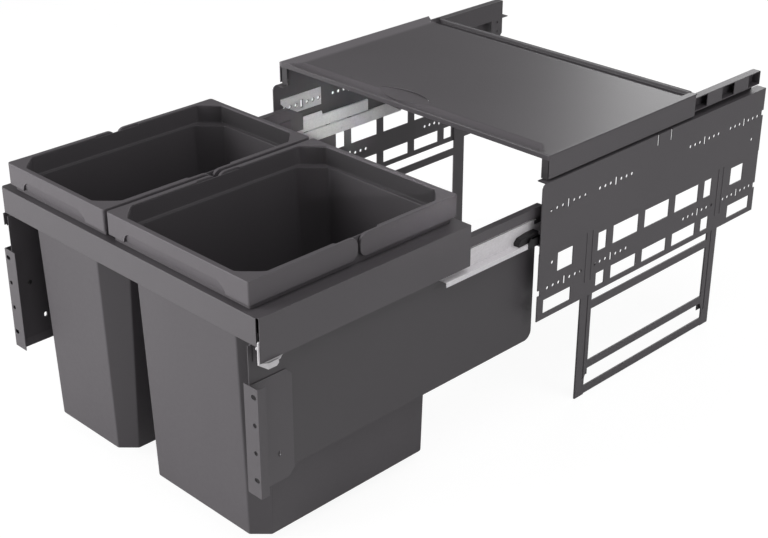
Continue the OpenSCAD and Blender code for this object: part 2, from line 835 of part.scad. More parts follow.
module front_catch() pulled() {
  x1 = side_out - frame_t;
  block(x1 - run_t, x1, catch_y, catch_y + catch_len, catch_z, catch_z + catch_h);
  block(x1 - run_t, x1 + catch_w - run_t, catch_y, catch_y + catch_len, catch_z, catch_z + run_t);
  block(x1 + catch_w - 2 * run_t, x1 + catch_w - run_t, catch_y, catch_y + catch_tab_len, catch_z,
    catch_z + catch_tab);
}

// door brackets
module door_bracket() pulled() {
  z0 = door_z - door_h;
  x1 = door_x + door_w;
  slot = (door_slot - door_hole) / 2;
  flat_y(door_y, door_t) difference() {
    translate([door_x, z0]) square([door_w, door_h]);
    // two round holes between two slots
    for (i = [0 : 3]) translate([(skirt_out + door_t + x1) / 2, z0 + door_first + i * door_pitch]) {
      half_slot = (i == 0 || i == 3) ? slot : 0;
      for (x = [-half_slot, half_slot]) translate([x, 0]) circle(d = door_hole, $fn = fine);
      square([2 * half_slot + eps, door_hole], center = true);
    }
  }
  block(x1 - door_t, x1, door_y, door_y + door_lip, z0, door_z);
  flat_x(skirt_out, door_t) difference() {
    polygon([[door_y, z0], [door_y + door_side - door_cut, z0], [door_y + door_side, z0 + door_cut],
      [door_y + door_side, door_z - door_cut], [door_y + door_side - door_cut, door_z],
      [door_y, door_z]]);
    peep_hole();
  }
}

// one screw on the inner face of each drawer side
module bracket_screws() pulled()
  for (s = [-1, 1]) side(s)
    translate([skirt_out - skirt_t - screw_h, door_y + screw_y, door_z - screw_z])
      rotate([0, 90, 0]) cylinder(h = screw_h, d1 = screw_head / 2, d2 = screw_head, $fn = fine);

// bins
module bin(x0, x1) pulled() {
  y0 = bin_y;
  y1 = bin_y + bin_len;
  c = collar_in;
  d = collar_in + bin_t;
  b = body_in;
  e = body_in + step_w;
  f = foot_in;
  g = foot_in_y;
  t = bin_t;
  z = bin_z - step_z;
  difference() {
    union() {
      // tapered body
      hull() {
        posts(x0 + f, x1 - f, y0 + g, y1 - g, bin_low, t, foot_c);
        posts(x0 + b, x1 - b, y0 + b, y1 - b, frame_z, t, body_c);
      }
      // collar that hangs in the frame, and the handles' pins
      rounded(x0 + c, x1 - c, y0 + c, y1 - c, frame_z, rim_z - frame_z, grip_r);
      for (y = [pivot_front_y, pivot_back_y]) translate([x0 + pin_back, y, pin_z])
        rotate([0, 90, 0]) cylinder(h = x1 - x0 - 2 * pin_back, d = pin_d, $fn = fine);
    }
    // inside of the collar, wide above the step
    rounded(x0 + d, x1 - d, y0 + d, y1 - d, z, bin_h, collar_r);
    // inside of the body
    hull() {
      posts(x0 + f + t, x1 - f - t, y0 + g + t, y1 - g - t, bin_low + t, t,
        foot_c - t / 2);
      posts(x0 + e, x1 - e, y0 + e, y1 - e, z, t, body_c - t / 2);
    }
  }
}

// the front handle of a bin
module handle_front(x0, x1) {
  y0 = bin_y;
  ye = bin_mid_y - end_gap / 2;
  yb = pivot_front_y - brim_back;
  z0 = bin_z - grip_h;
  a = x0 + brim_w;
  b = x1 - brim_w;
  c = y0 + brim_w;
  xa = x0 + finger_in;
  xb = x1 - finger_out;
  difference() {
    union() {
      // arms with rounded ends
      for (x = [x0, x1 - arm_t]) flat_x(x, arm_t) {
        rect_yz(y0 + grip_r, ye - end_r, z0, bin_z);
        rect_yz(ye - end_r - eps, ye, z0 + end_r, bin_z - end_r);
        for (z = [z0 + end_r, bin_z - end_r])
          translate([ye - end_r, z]) circle(r = end_r, $fn = fine);
      }
      // front bar with round corners
      block(x0 + grip_r, x1 - grip_r, y0, y0 + bar_t, z0, bin_z);
      for (x = [x0 + grip_r, x1 - grip_r])
        translate([x, y0 + grip_r, z0]) cylinder(h = grip_h, r = grip_r, $fn = fine);
      // flange over the bin's edge, with wide inner corners
      translate([0, 0, bin_z - brim_t]) linear_extrude(brim_t) difference() {
        translate([x0 + arm_t / 2, y0 + bar_t / 2])
          square([x1 - x0 - arm_t, yb - y0 - bar_t / 2]);
        for (x = [a + brim_r, b - brim_r]) translate([x, c + brim_r]) circle(r = brim_r, $fn = fine);
        translate([a + brim_r, c]) square([b - a - 2 * brim_r, bin_len]);
        translate([a, c + brim_r]) square([b - a, bin_len]);
      }
    }
    // pivot bores
    for (x = [x0, x1 - arm_t]) translate([x - overrun, pivot_front_y, pin_z]) rotate([0, 90, 0])
      cylinder(h = arm_t + 2 * overrun, r = pin_d / 2 + pin_gap, $fn = fine);
    // finger hollow, round at one end, slanted at the other, deeper at its lower edge
    intersection() {
      flat_y(y0 - overrun, finger_d + overrun) {
        h = finger_h;
        translate([xa, z0]) polygon([[h, -h], [xb - xa, -h], [xb - xa, h / 3],
          [xb - xa - finger_slant, h], [h, h]]);
        translate([xa + h, z0]) circle(r = h, $fn = fine);
      }
      flat_x(x0, x1 - x0) polygon([[y0 - overrun, z0 - finger_h], [y0 + finger_d, z0 - finger_h],
        [y0 + finger_d, z0], [y0 + finger_top, z0 + finger_h], [y0 - overrun, z0 + finger_h]]);
    }
  }
}

module handle(x0, x1, back) pulled()
  translate([0, back ? 2 * bin_mid_y : 0, 0]) mirror([0, back ? 1 : 0, 0]) handle_front(x0, x1);

// shelf
// section of an edge trough: lip, floor and ramp, from the edge inwards
module trough_section(rise) {
  t = shelf_t;
  d = trough_d;
  f = lip_w + trough_floor;
  rect_yz(0, t, -lip_h, rise);
  rect_yz(0, lip_w, rise - t, rise);
  rect_yz(lip_w - t, lip_w, -d - t, rise);
  rect_yz(lip_w - t, f, -d - t, -d);
  polygon([[f, -d], [trough_w, 0], [trough_w, -t], [f, -d - t]]);
}

module trough_fill() {
  polygon([[0, 0], [trough_w, 0], [lip_w + trough_floor, -trough_d - shelf_t],
    [lip_w - shelf_t, -trough_d - shelf_t], [0, -lip_h]]);
}

module shelf_tray() difference() {
  shelf_sheet();
  pad_lens(pad_gap, shelf_z - lip_h, 2 * lip_h);
}

module shelf_sheet() {
  t = shelf_t;
  x1 = shelf_out - trough_end;
  // the troughs in front and behind, with closed ends
  for (m = [0, 1]) translate([0, m * (shelf_y + shelf_back), shelf_z]) mirror([0, m, 0])
    translate([0, shelf_y, 0]) {
      flat_x(-x1, 2 * x1) trough_section(m * rear_rise);
      for (x = [-x1 - t, x1]) flat_x(x, t) trough_fill();
    }
  // the flat sheet
  block(-shelf_skin, shelf_skin, shelf_y + trough_w, shelf_back - trough_w, shelf_z - t, shelf_z);
  for (s = [-1, 1]) side(s) {
    block(x1, shelf_skin, shelf_y, shelf_back, shelf_z - t, shelf_z);
    block(shelf_skin, shelf_out, shelf_y, shelf_back - side_short, shelf_z - shelf_side, shelf_z);
    // lips beside the troughs, the rear one clear of the shelf rail
    block(x1, shelf_skin, shelf_y, shelf_y + t, shelf_z - lip_h, shelf_z);
    block(x1, half - rear_in, shelf_back - t, shelf_back, track_z + rear_gap, shelf_z + rear_rise);
  }
}

module shelf_slide()
  block(track_in + shelf_t + slide_gap, shelf_skin, track_y, shelf_back - side_short,
    track_z - track_h + shelf_t + slide_gap, track_z - shelf_t - slide_gap);

module shelf_cap()
  block(track_in, half - cap_out, shelf_y + shelf_t, shelf_y + cap_d,
    plate_h + cap_gap, shelf_z - shelf_t);

// upright lens, the outline of the grip pad
module pad_lens(grow, z, h) {
  r = (pad_len * pad_len / 4 + pad_w * pad_w / 4) / pad_w;
  translate([-pad_x, shelf_y + pad_y, z]) intersection() {
    translate([0, r - pad_w / 2, 0]) cylinder(h = h, r = r + grow, $fn = 4 * fine);
    translate([0, pad_w / 2 - r, 0]) cylinder(h = h, r = r + grow, $fn = 4 * fine);
  }
}

// pad let into the sheet, its top a shallow dish
module shelf_pad() {
  r = (pad_len * pad_len / 4 + pad_dish * pad_dish) / (2 * pad_dish);
  difference() {
    pad_lens(0, shelf_z - pad_t, pad_t);
    translate([-pad_x, shelf_y + pad_y - pad_w, shelf_z - pad_dish + r]) rotate([-90, 0, 0])
      cylinder(h = 2 * pad_w, r = r, $fn = 4 * fine);
  }
}

// channel open to the outside, its inner wall down to the plate's flange
module shelf_rail() {
  t = shelf_t;
  x1 = shelf_skin - slide_gap;
  y1 = track_back;
  z0 = track_z - track_h;
  zb = plate_h - hanger_h;
  flat_x(track_in, t) difference() {
    union() {
      rect_yz(track_y, y1, plate_h - plate_t, track_z);
      translate([y1, zb]) polygon([[-hanger_len, 0], [-hanger_cut, 0], [0, hanger_cut],
        [0, hanger_h], [-hanger_len, hanger_h]]);
    }
    for (i = [0, 1]) translate([y1 - hanger_len / 2, plate_h - hanger_hole - i * hanger_pitch])
      circle(d = hole_d, $fn = fine);
  }
  block(track_in, x1, track_y, y1, track_z - t, track_z);
  block(track_in, x1, track_y, y1, z0, z0 + t);
  // closing walls behind the shelf
  for (i = [0 : wall_n - 1]) {
    y = shelf_back + wall_y + i * wall_pitch;
    block(x1 - t, x1, y, y + wall_len, z0, track_z);
  }
  // rear end plate
  block(track_in, x1, y1 - t, y1, z0, track_z);
}

steel = [0.32, 0.32, 0.33];
zinc = [0.75, 0.76, 0.78];
plastic = [0.47, 0.47, 0.49];
black = [0.08, 0.08, 0.09];

module mounting_plate_left() color(steel) placed() side(-1) mounting_plate();
module mounting_plate_right() color(steel) placed() side(1) mounting_plate();
module plate_bracket_left() color(zinc) placed() side(-1) plate_bracket();
module plate_bracket_right() color(zinc) placed() side(1) plate_bracket();
module leg_guide_left() color(steel) placed() side(-1) leg_guide();
module leg_guide_right() color(steel) placed() side(1) leg_guide();
module leg_frame_left() color(steel) placed() side(-1) leg_frame();
module leg_frame_right() color(steel) placed() side(1) leg_frame();
module leg_clips_left() color(black) placed() side(-1) leg_clips();
module leg_clips_right() color(black) placed() side(1) leg_clips();
module runner_fixed_left() color(zinc) placed() side(-1) runner_fixed();
module runner_fixed_right() color(zinc) placed() side(1) runner_fixed();
module runner_rollers_left() color(black) placed() side(-1) runner_rollers();
module runner_rollers_right() color(black) placed() side(1) runner_rollers();
module runner_middle_left() color(zinc) placed() side(-1) runner_middle();
module runner_middle_right() color(zinc) placed() side(1) runner_middle();
module middle_wheels_left() color(black) placed() side(-1) middle_wheels();
module middle_wheels_right() color(black) placed() side(1) middle_wheels();
module stop_block_left() color(black) placed() side(-1) stop_block();
module stop_block_right() color(black) placed() side(1) stop_block();
module drawer_rail_left() color(steel) placed() side(-1) drawer_rail();
module drawer_rail_right() color(steel) placed() side(1) drawer_rail();
module drawer_side_left() color(steel) placed() side(-1) drawer_side();
module drawer_side_right() color(steel) placed() side(1) drawer_side();
module frame_side_left() color(steel) placed() side(-1) frame_side();
module frame_side_right() color(steel) placed() side(1) frame_side();
module frame_front_node() color(steel) placed() frame_front();
module frame_back_node() color(steel) placed() frame_back();
module front_catch_left() color(steel) placed() side(-1) catch_strip();
module front_catch_right() color(zinc) placed() side(1) front_catch();
module door_bracket_left() color(steel) placed() side(-1) door_bracket();
module door_bracket_right() color(steel) placed() side(1) door_bracket();
module bracket_screws_node() color(zinc) placed() bracket_screws();
module plate_rivets_node() color(zinc) placed() plate_rivets();
module bin_left() color(plastic) placed() bin(-bin_out, left_in);
module bin_right() color(plastic) placed() bin(right_in, bin_out);
module handle_left_front() color(plastic) placed() handle(-bin_out, left_in, false);
module handle_left_back() color(plastic) placed() handle(-bin_out, left_in, true);
module handle_right_front() color(plastic) placed() handle(right_in, bin_out, false);
module handle_right_back() color(plastic) placed() handle(right_in, bin_out, true);
module shelf_tray_node() color(steel) placed() shelf_tray();
module shelf_slide_left() color(black) placed() side(-1) shelf_slide();
module shelf_slide_right() color(black) placed() side(1) shelf_slide();
module shelf_cap_left() color(steel) placed() side(-1) shelf_cap();
module shelf_cap_right() color(steel) placed() side(1) shelf_cap();
module shelf_pad_node() color(plastic) placed() shelf_pad();
module shelf_rail_left() color(steel) placed() side(-1) shelf_rail();
module shelf_rail_right() color(steel) placed() side(1) shelf_rail();

mounting_plate_left();
mounting_plate_right();
plate_bracket_left();
plate_bracket_right();
leg_guide_left();
leg_guide_right();
leg_frame_left();
leg_frame_right();
leg_clips_left();
leg_clips_right();
runner_fixed_left();
runner_fixed_right();
runner_rollers_left();
runner_rollers_right();
runner_middle_left();
runner_middle_right();
middle_wheels_left();
middle_wheels_right();
stop_block_left();
stop_block_right();
drawer_rail_left();
drawer_rail_right();
drawer_side_left();
drawer_side_right();
frame_side_left();
frame_side_right();
frame_front_node();  // frame_front
frame_back_node();  // frame_back
front_catch_left();
front_catch_right();
door_bracket_left();
door_bracket_right();
bracket_screws_node();  // bracket_screws
plate_rivets_node();  // plate_rivets
bin_left();
bin_right();
handle_left_front();
handle_left_back();
handle_right_front();
handle_right_back();
shelf_tray_node();  // shelf_tray
shelf_slide_left();
shelf_slide_right();
shelf_cap_left();
shelf_cap_right();
shelf_pad_node();  // shelf_pad
shelf_rail_left();
shelf_rail_right();
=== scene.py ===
"""Pull out waste unit for a kitchen base cabinet, dressed over its CAD frame. Metres, Z up."""
import json
import math

import bmesh
import bpy
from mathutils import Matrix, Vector

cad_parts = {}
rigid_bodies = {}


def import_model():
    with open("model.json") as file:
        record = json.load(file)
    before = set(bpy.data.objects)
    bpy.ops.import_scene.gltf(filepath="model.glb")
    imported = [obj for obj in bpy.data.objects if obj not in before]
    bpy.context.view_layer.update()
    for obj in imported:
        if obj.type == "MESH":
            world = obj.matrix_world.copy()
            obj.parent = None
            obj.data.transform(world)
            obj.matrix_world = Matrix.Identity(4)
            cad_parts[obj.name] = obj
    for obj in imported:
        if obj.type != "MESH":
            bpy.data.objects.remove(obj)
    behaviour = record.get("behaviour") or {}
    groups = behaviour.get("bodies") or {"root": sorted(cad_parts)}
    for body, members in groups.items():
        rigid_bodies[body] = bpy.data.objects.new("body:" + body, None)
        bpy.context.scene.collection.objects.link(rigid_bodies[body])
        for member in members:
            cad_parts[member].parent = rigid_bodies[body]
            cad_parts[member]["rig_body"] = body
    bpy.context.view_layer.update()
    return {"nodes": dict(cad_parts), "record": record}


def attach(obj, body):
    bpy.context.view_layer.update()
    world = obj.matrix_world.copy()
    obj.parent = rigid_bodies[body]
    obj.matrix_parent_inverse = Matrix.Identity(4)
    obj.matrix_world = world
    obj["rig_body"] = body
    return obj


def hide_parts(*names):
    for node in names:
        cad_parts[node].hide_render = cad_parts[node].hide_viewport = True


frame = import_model()

MM = 0.001
SLOT_OF = {part["node"]: part["material_slot"] for part in frame["record"]["subparts"]}

# The plates' front edge and bottom edge in the row frame, in millimetres
PLATE_FRONT = 20.4
STAND = 175.0


def at(x, y, z):
    """A point given in millimetres from the plates' front bottom edge, in the row frame."""
    return Vector((x * MM, (y - PLATE_FRONT) * MM, (z + STAND) * MM))


def in_mm(point):
    """The reverse: a point of the row frame in millimetres from the plates' front bottom edge."""
    return point.x / MM, point.y / MM + PLATE_FRONT, point.z / MM - STAND


def mix(low, high, t):
    return low + (high - low) * t


def ease(t):
    """From 0 to 1 with a soft start and end."""
    t = max(0.0, min(1.0, t))
    return t * t * (3 - 2 * t)


def in_scene(name, data):
    """A new object with the data, linked into the scene."""
    thing = bpy.data.objects.new(name, data)
    bpy.context.scene.collection.objects.link(thing)
    return thing


# Materials

# The vertex attribute that carries painted light and painted shade, as a factor on the base colour
PAINTED_LIGHT_NAME = "tone"
RAMP_SPAN = (0.3, 0.7)


def tint(base, factor):
    """The colour times a factor, with an alpha of 1."""
    return tuple(min(1.0, c * factor) for c in base) + (1.0,)


class Finish:
    """A node material with a few helpers, so each finish reads as a list of layers."""

    def __init__(self, name):
        self.material = bpy.data.materials.new(name)
        self.material.use_nodes = True
        self.tree = self.material.node_tree
        self.shader = self.tree.nodes["Principled BSDF"]
        self.place = self.add("ShaderNodeTexCoord")

    def add(self, kind, **settings):
        """A new node; each setting is the value of its input of that name, or a property."""
        node = self.tree.nodes.new(kind)
        for key, value in settings.items():
            if isinstance(value, (int, float, tuple)) and key in node.inputs:
                node.inputs[key].default_value = value
            else:
                setattr(node, key, value)
        return node

    def link(self, source, target):
        self.tree.links.new(source, target)

    def fixed(self, **values):
        for key, value in values.items():
            self.shader.inputs[key.replace("_", " ")].default_value = value

    def noise(self, scale, detail, stretch=(1.0, 1.0, 1.0)):
        noise = self.add("ShaderNodeTexNoise", Scale=scale, Detail=detail)
        mapping = self.add("ShaderNodeMapping", Scale=stretch)
        self.link(self.place.outputs["Object"], mapping.inputs["Vector"])
        self.link(mapping.outputs["Vector"], noise.inputs["Vector"])
        return noise.outputs["Fac"]

    def ramp(self, source, low, high, span=RAMP_SPAN):
        """From low to high, both greys or both colours, over a span of the source."""
        ramp = self.add("ShaderNodeValToRGB")
        for element, position, value in zip(ramp.color_ramp.elements, span, (low, high)):
            element.position = position
            element.color = value if isinstance(value, tuple) else (value, value, value, 1.0)
        self.link(source, ramp.inputs["Fac"])
        return ramp.outputs["Color"]

    def bump(self, source, height, strength, below=None):
        bump = self.add("ShaderNodeBump", Distance=height, Strength=strength)
        self.link(source, bump.inputs["Height"])
        if below is not None:
            self.link(below, bump.inputs["Normal"])
        return bump.outputs["Normal"]

    def colour(self, source, base, low, high, span=RAMP_SPAN, with_painted_light=False):
        """The base colour times low to high along the source, and times the painted light
        attribute, which carries painted light and painted shade.
        """
        shade = self.ramp(source, tint(base, low), tint(base, high), span)
        if with_painted_light:
            tone = self.add("ShaderNodeAttribute", attribute_name=PAINTED_LIGHT_NAME)
            scale = self.add("ShaderNodeVectorMath", operation="SCALE")
            self.link(shade, scale.inputs[0])
            self.link(tone.outputs["Fac"], scale.inputs["Scale"])
            shade = scale.outputs["Vector"]
        self.link(shade, self.shader.inputs["Base Color"])

    def rough(self, source, low, high):
        self.link(self.ramp(source, low, high), self.shader.inputs["Roughness"])

    def normal(self, source):
        self.link(source, self.shader.inputs["Normal"])


def powder_coat(name, colour, rough, with_painted_light=False):
    """Baked powder paint: even colour, a slow mottle and a very fine orange peel."""
    f = Finish(name)
    f.colour(f.noise(scale=6.0, detail=3.0), colour, 0.97, 1.03, with_painted_light=with_painted_light)
    f.rough(f.noise(scale=900.0, detail=2.0), rough - 0.03, rough + 0.04)
    peel = f.bump(f.noise(scale=420.0, detail=2.0), height=0.02 * MM, strength=0.35)
    speck = f.noise(scale=2600.0, detail=1.0)
    f.normal(f.bump(speck, height=0.006 * MM, strength=0.4, below=peel))
    f.fixed(Metallic=0.0, Specular_IOR_Level=0.5)
    return f.material


def moulded(name, colour, rough, with_painted_light=False):
    """Moulded plastic: slow flow marks and the fine grain of an eroded mould."""
    f = Finish(name)
    flow = f.noise(scale=9.0, detail=2.0, stretch=(1.0, 1.0, 0.35))
    f.colour(flow, colour, 0.97, 1.04, with_painted_light=with_painted_light)
    f.rough(f.noise(scale=160.0, detail=3.0), rough - 0.03, rough + 0.03)
    swell = f.noise(scale=22.0, detail=1.0, stretch=(1.0, 1.0, 0.3))
    wave = f.bump(swell, height=0.05 * MM, strength=0.25)
    grain = f.noise(scale=1500.0, detail=2.0)
    f.normal(f.bump(grain, height=0.012 * MM, strength=0.5, below=wave))
    f.fixed(Specular_IOR_Level=0.4)
    return f.material


def galvanised(name, colour):
    """Zinc-coated sheet: faint crystal spangle over fine lines of the rolling mill."""
    f = Finish(name)
    cells = f.add("ShaderNodeTexVoronoi", Scale=420.0)
    f.link(f.place.outputs["Object"], cells.inputs["Vector"])
    grey = f.add("ShaderNodeRGBToBW")
    f.link(cells.outputs["Color"], grey.inputs["Color"])
    lines = f.noise(scale=500.0, detail=3.0, stretch=(1.0, 0.02, 1.0))
    blend = f.add("ShaderNodeMath", operation="MULTIPLY")
    f.link(grey.outputs["Val"], blend.inputs[0])
    f.link(lines, blend.inputs[1])
    f.colour(blend.outputs["Value"], colour, 0.95, 1.05, span=(0.1, 0.5))
    f.rough(lines, 0.36, 0.48)
    f.normal(f.bump(lines, height=0.01 * MM, strength=0.3))
    f.fixed(Metallic=0.1)
    return f.material


ANTHRACITE = (0.0955, 0.0878, 0.0955)
# By slot, or by a name that only this script uses
FINISHES = {
    "steel_paint": powder_coat("anthracite_powder_coat", ANTHRACITE, 0.40),
    # The shelf's paint, with painted light and painted shade from the vertex attribute
    "shelf_paint_with_painted_light": powder_coat("shelf_powder_coat", ANTHRACITE, 0.35, with_painted_light=True),
    "cap_paint": powder_coat("cap_powder_coat", (0.046, 0.0424, 0.046), 0.42),
    # The drawer sides: the anthracite paint made darker, as painted shade
    "side_paint_painted_shade": powder_coat("side_powder_coat", (0.074, 0.068, 0.074), 0.42),
    "zinc_steel": galvanised("galvanised_sheet", (0.84, 0.815, 0.84)),
    # The front catch's zinc made darker, as painted shade under the side frame
    "catch_zinc_painted_shade": galvanised("duller_galvanised_sheet", (0.66, 0.64, 0.66)),
    # The bins' plastic, with painted shade inside from the painted light attribute
    "bin_plastic": moulded("bin_body_plastic", (0.0895, 0.0823, 0.0895), 0.48, with_painted_light=True),
    "handle_plastic": moulded("handle_plastic", (0.110, 0.101, 0.110), 0.42),
    "black_plastic": moulded("black_runner_plastic", (0.0150, 0.0136, 0.0150), 0.45),
    "pad_plastic": moulded("grip_pad_plastic", (0.107, 0.098, 0.107), 0.34),
}

# Mesh helpers

SMOOTH_UP_TO = math.radians(34)
WELD_WITHIN = 1e-6
FLAT_WEIGHT = 80
MADE = set()


def with_crisp_edges(mesh):
    """Smooth shading over small angles, and crisp edges at larger ones."""
    mesh.shade_smooth()
    mesh.set_sharp_from_angle(angle=SMOOTH_UP_TO)
    return mesh


def mesh_of(work, name):
    """The bmesh as a mesh; the bmesh itself is freed."""
    mesh = bpy.data.meshes.new(name)
    work.to_mesh(mesh)
    work.free()
    return mesh


def plain_mesh(name, builder):
    """A mesh from a function that fills a bmesh, with its faces turned outwards."""
    work = bmesh.new()
    builder(work)
    bmesh.ops.recalc_face_normals(work, faces=work.faces)
    return with_crisp_edges(mesh_of(work, name))


def scratch_object(mesh):
    return in_scene(mesh.name + "_work", mesh)


def worked_in(holder, name):
    """The object's mesh with its modifiers worked in; the object itself is then removed."""
    graph = bpy.context.evaluated_depsgraph_get()
    mesh = bpy.data.meshes.new_from_object(holder.evaluated_get(graph))
    mesh.name = name
    bpy.data.objects.remove(holder)
    return mesh


def level_normals(mesh):
    """Shading normals that follow the large faces, so flat sheet stays flat beside a soft edge."""
    holder = scratch_object(mesh)
    weigh = holder.modifiers.new("weigh", "WEIGHTED_NORMAL")
    weigh.keep_sharp = True
    weigh.weight = FLAT_WEIGHT
    return worked_in(holder, mesh.name)


def cut_away(mesh, cutter):
    """The mesh less the cutter's volume."""
    holder, tool = scratch_object(mesh), scratch_object(cutter)
    boolean = holder.modifiers.new("cut", "BOOLEAN")
    boolean.operation = "DIFFERENCE"
    boolean.solver = "EXACT"
    boolean.object = tool
    result = worked_in(holder, mesh.name)
    bpy.data.objects.remove(tool)
    return with_crisp_edges(result)


def set_painted_light(mesh, tone):
    """Gives each vertex the painted light and painted shade, a factor on its colour, that the
    function finds for its place in millimetres.
    """
    painted_values = mesh.attributes.new(PAINTED_LIGHT_NAME, "FLOAT", "POINT")
    for item, vert in zip(painted_values.data, mesh.vertices):
        item.value = tone(*in_mm(vert.co))


def finish_piece(name, mesh, node, finish=None):
    """Makes the mesh the piece that stands for a node, in its slot's finish or the one named."""
    slot, body = SLOT_OF[node], frame["nodes"][node]["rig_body"]
    mesh = level_normals(mesh)
    mesh.materials.clear()
    mesh.materials.append(FINISHES[finish or slot])
    piece = in_scene(name, mesh)
    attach(piece, body)
    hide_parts(node)
    MADE.add(node)


def cad_solid(node):
    """A node's CAD mesh as a bmesh, its triangles joined at their corners."""
    work = bmesh.new()
    work.from_mesh(frame["nodes"][node].data)
    bmesh.ops.remove_doubles(work, verts=work.verts, dist=WELD_WITHIN)
    return work


# Simple solids; every length is in millimetres

DISC_EDGE = 0.5
# (1 - sin, 1 - cos) over a quarter turn, for rounded edges
QUARTER_ARC = [(1 - math.sin(a), 1 - math.cos(a))
               for a in map(math.radians, (0.0, 22.5, 45.0, 67.5, 90.0))]


def loft(work, rings):
    """Walls between rings of equal count, closed at both ends."""
    rows = [[work.verts.new(p) for p in ring] for ring in rings]
    count = len(rows[0])
    for low, high in zip(rows, rows[1:]):
        for i in range(count):
            j = (i + 1) % count
            work.faces.new((low[i], low[j], high[j], high[i]))
    work.faces.new(list(reversed(rows[0])))
    work.faces.new(rows[-1])


def slab(work, corners, depth):
    """A flat plate: its corners, and the same corners moved by the depth."""
    near = [at(*corner) for corner in corners]
    far = [point + Vector(depth) * MM for point in near]
    loft(work, [near, far])


def slab_x(work, sign, x0, x1, outline):
    """A plate across X between two places, mirrored for the left side, from (y, z) corners."""
    slab(work, [(sign * x0, y, z) for y, z in outline], (sign * (x1 - x0), 0.0, 0.0))


def upright(y0, y1, z0, z1):
    """The (y, z) corners of a rectangle."""
    return [(y0, z0), (y1, z0), (y1, z1), (y0, z1)]


def circle(x, y, z, radius, around):
    """Points of a circle about a line along X."""
    angles = [math.tau * i / around for i in range(around)]
    return [(x, y + radius * math.cos(a), z + radius * math.sin(a)) for a in angles]


def disc(work, x0, x1, y, z, radius, around=32):
    """A short round bar along X."""
    small = radius - DISC_EDGE
    stations = ((x0, small), (x0 + DISC_EDGE, radius), (x1 - DISC_EDGE, radius), (x1, small))
    loft(work, [[at(*p) for p in circle(x, y, z, r, around)] for x, r in stations])


def turned(name, profile, around=40):
    """A solid of revolution about X at the origin, from (x, radius) pairs."""
    def fill(work):
        loft(work, [[Vector([c * MM for c in p]) for p in circle(x, 0.0, 0.0, r, around)]
                    for x, r in profile])

    return plain_mesh(name, fill)


# Bins

BIN_SIDES = {"left": (-255.9, -32.1), "right": (-25.2, 255.9)}
BIN_FRONT, BIN_BACK = -505.6, -145.9
BIN_MIDDLE = (BIN_FRONT + BIN_BACK) / 2
# Heights: handles, rim, step inside, frame's top and foot
BIN_TOP, RIM_TOP, STEP_TOP, FRAME_TOP, BIN_LOW = 238.5, 235.8, 210.5, 198.0, -156.0
WALL_LEVELS = (-100.0, -20.0, 60.0, 140.0)
# The wall at the foot, and how much thicker it is at the frame's top
WALL, WALL_GROWS = 2.2, 2.0
# How far the walls stand in from the bin's box: at the foot, at the frame and in the collar
FOOT_IN, FOOT_IN_Y, BODY_IN, COLLAR_IN = 23.3, 19.0, 9.0, 5.5
LIP_IN = COLLAR_IN + WALL
# How much the corners are cut in plan, and how round their edges are
BODY_CUT, FOOT_CUT, COLLAR_CUT, INNER_CUT_LESS = 30.0, 18.5, 24.0, 1.0
OUTER_EDGE, INNER_EDGE, COLLAR_EDGE, LIP_EDGE = 4.5, 9.0, 3.0, 5.0
# Fillets at the foot, and the share of the inner one's width that its rings take
OUTER_FILLET, INNER_FILLET, FLOOR_SHARE = 3.0, 9.0, 0.98
# Rings close to the bends: under the frame's top, and below the step with how far each stands in
BELOW_FRAME, BELOW_STEP, STEP_SOFT, STEP_SOFT_IN = 1.0, 2.0, 0.6, -0.5
ARC_STEPS = 4
EIGHTH_TURN = math.radians(45)
# The collar over the frame's ledge, the rim and the inside down to the step:
# inset, height, corner cut, roundness
RIM_SECTION = (
    (COLLAR_IN + 0.6, FRAME_TOP + 0.05, 0.0, COLLAR_EDGE),
    (COLLAR_IN, FRAME_TOP + 0.65, 0.0, COLLAR_EDGE),
    (COLLAR_IN, RIM_TOP - 0.8, 0.0, COLLAR_EDGE),
    (COLLAR_IN + 0.24, RIM_TOP - 0.24, 0.0, COLLAR_EDGE),
    (COLLAR_IN + 0.8, RIM_TOP, 0.0, COLLAR_EDGE),
    (LIP_IN - 0.5, RIM_TOP, COLLAR_CUT - 0.5, LIP_EDGE),
    (LIP_IN - 0.1, RIM_TOP - 0.3, COLLAR_CUT, LIP_EDGE),
    (LIP_IN, RIM_TOP - 1.0, COLLAR_CUT, LIP_EDGE),
    (LIP_IN, STEP_TOP + 2.0, COLLAR_CUT, LIP_EDGE),
    (LIP_IN + 0.4, STEP_TOP + 0.7, COLLAR_CUT, LIP_EDGE),
    (LIP_IN + 1.3, STEP_TOP, COLLAR_CUT + 1.5, LIP_EDGE),
)
# Painted shade on the inside; a point counts as inside from this far behind the outer face
INSIDE_FROM = 1.3
# Where the rear band's painted shade starts and where the wall's painted shade fades out, then how
# dark the painted shade is inside, on the rear band and on the rear wall
BAND_LOW, WALL_SHADE_END = STEP_TOP + 0.3, 40.0
INSIDE_PAINTED_SHADE, REAR_BAND_PAINTED_SHADE, REAR_WALL_PAINTED_SHADE = 0.86, 0.38, 0.72
# The pins: their places along the bin, height, radius, and reach from the bin's side
PIVOTS = (-343.5, -308.0)
PIN_Z, PIN_R, PIN_FROM, PIN_TO = 222.35, 4.0, 0.5, COLLAR_IN + 1.0


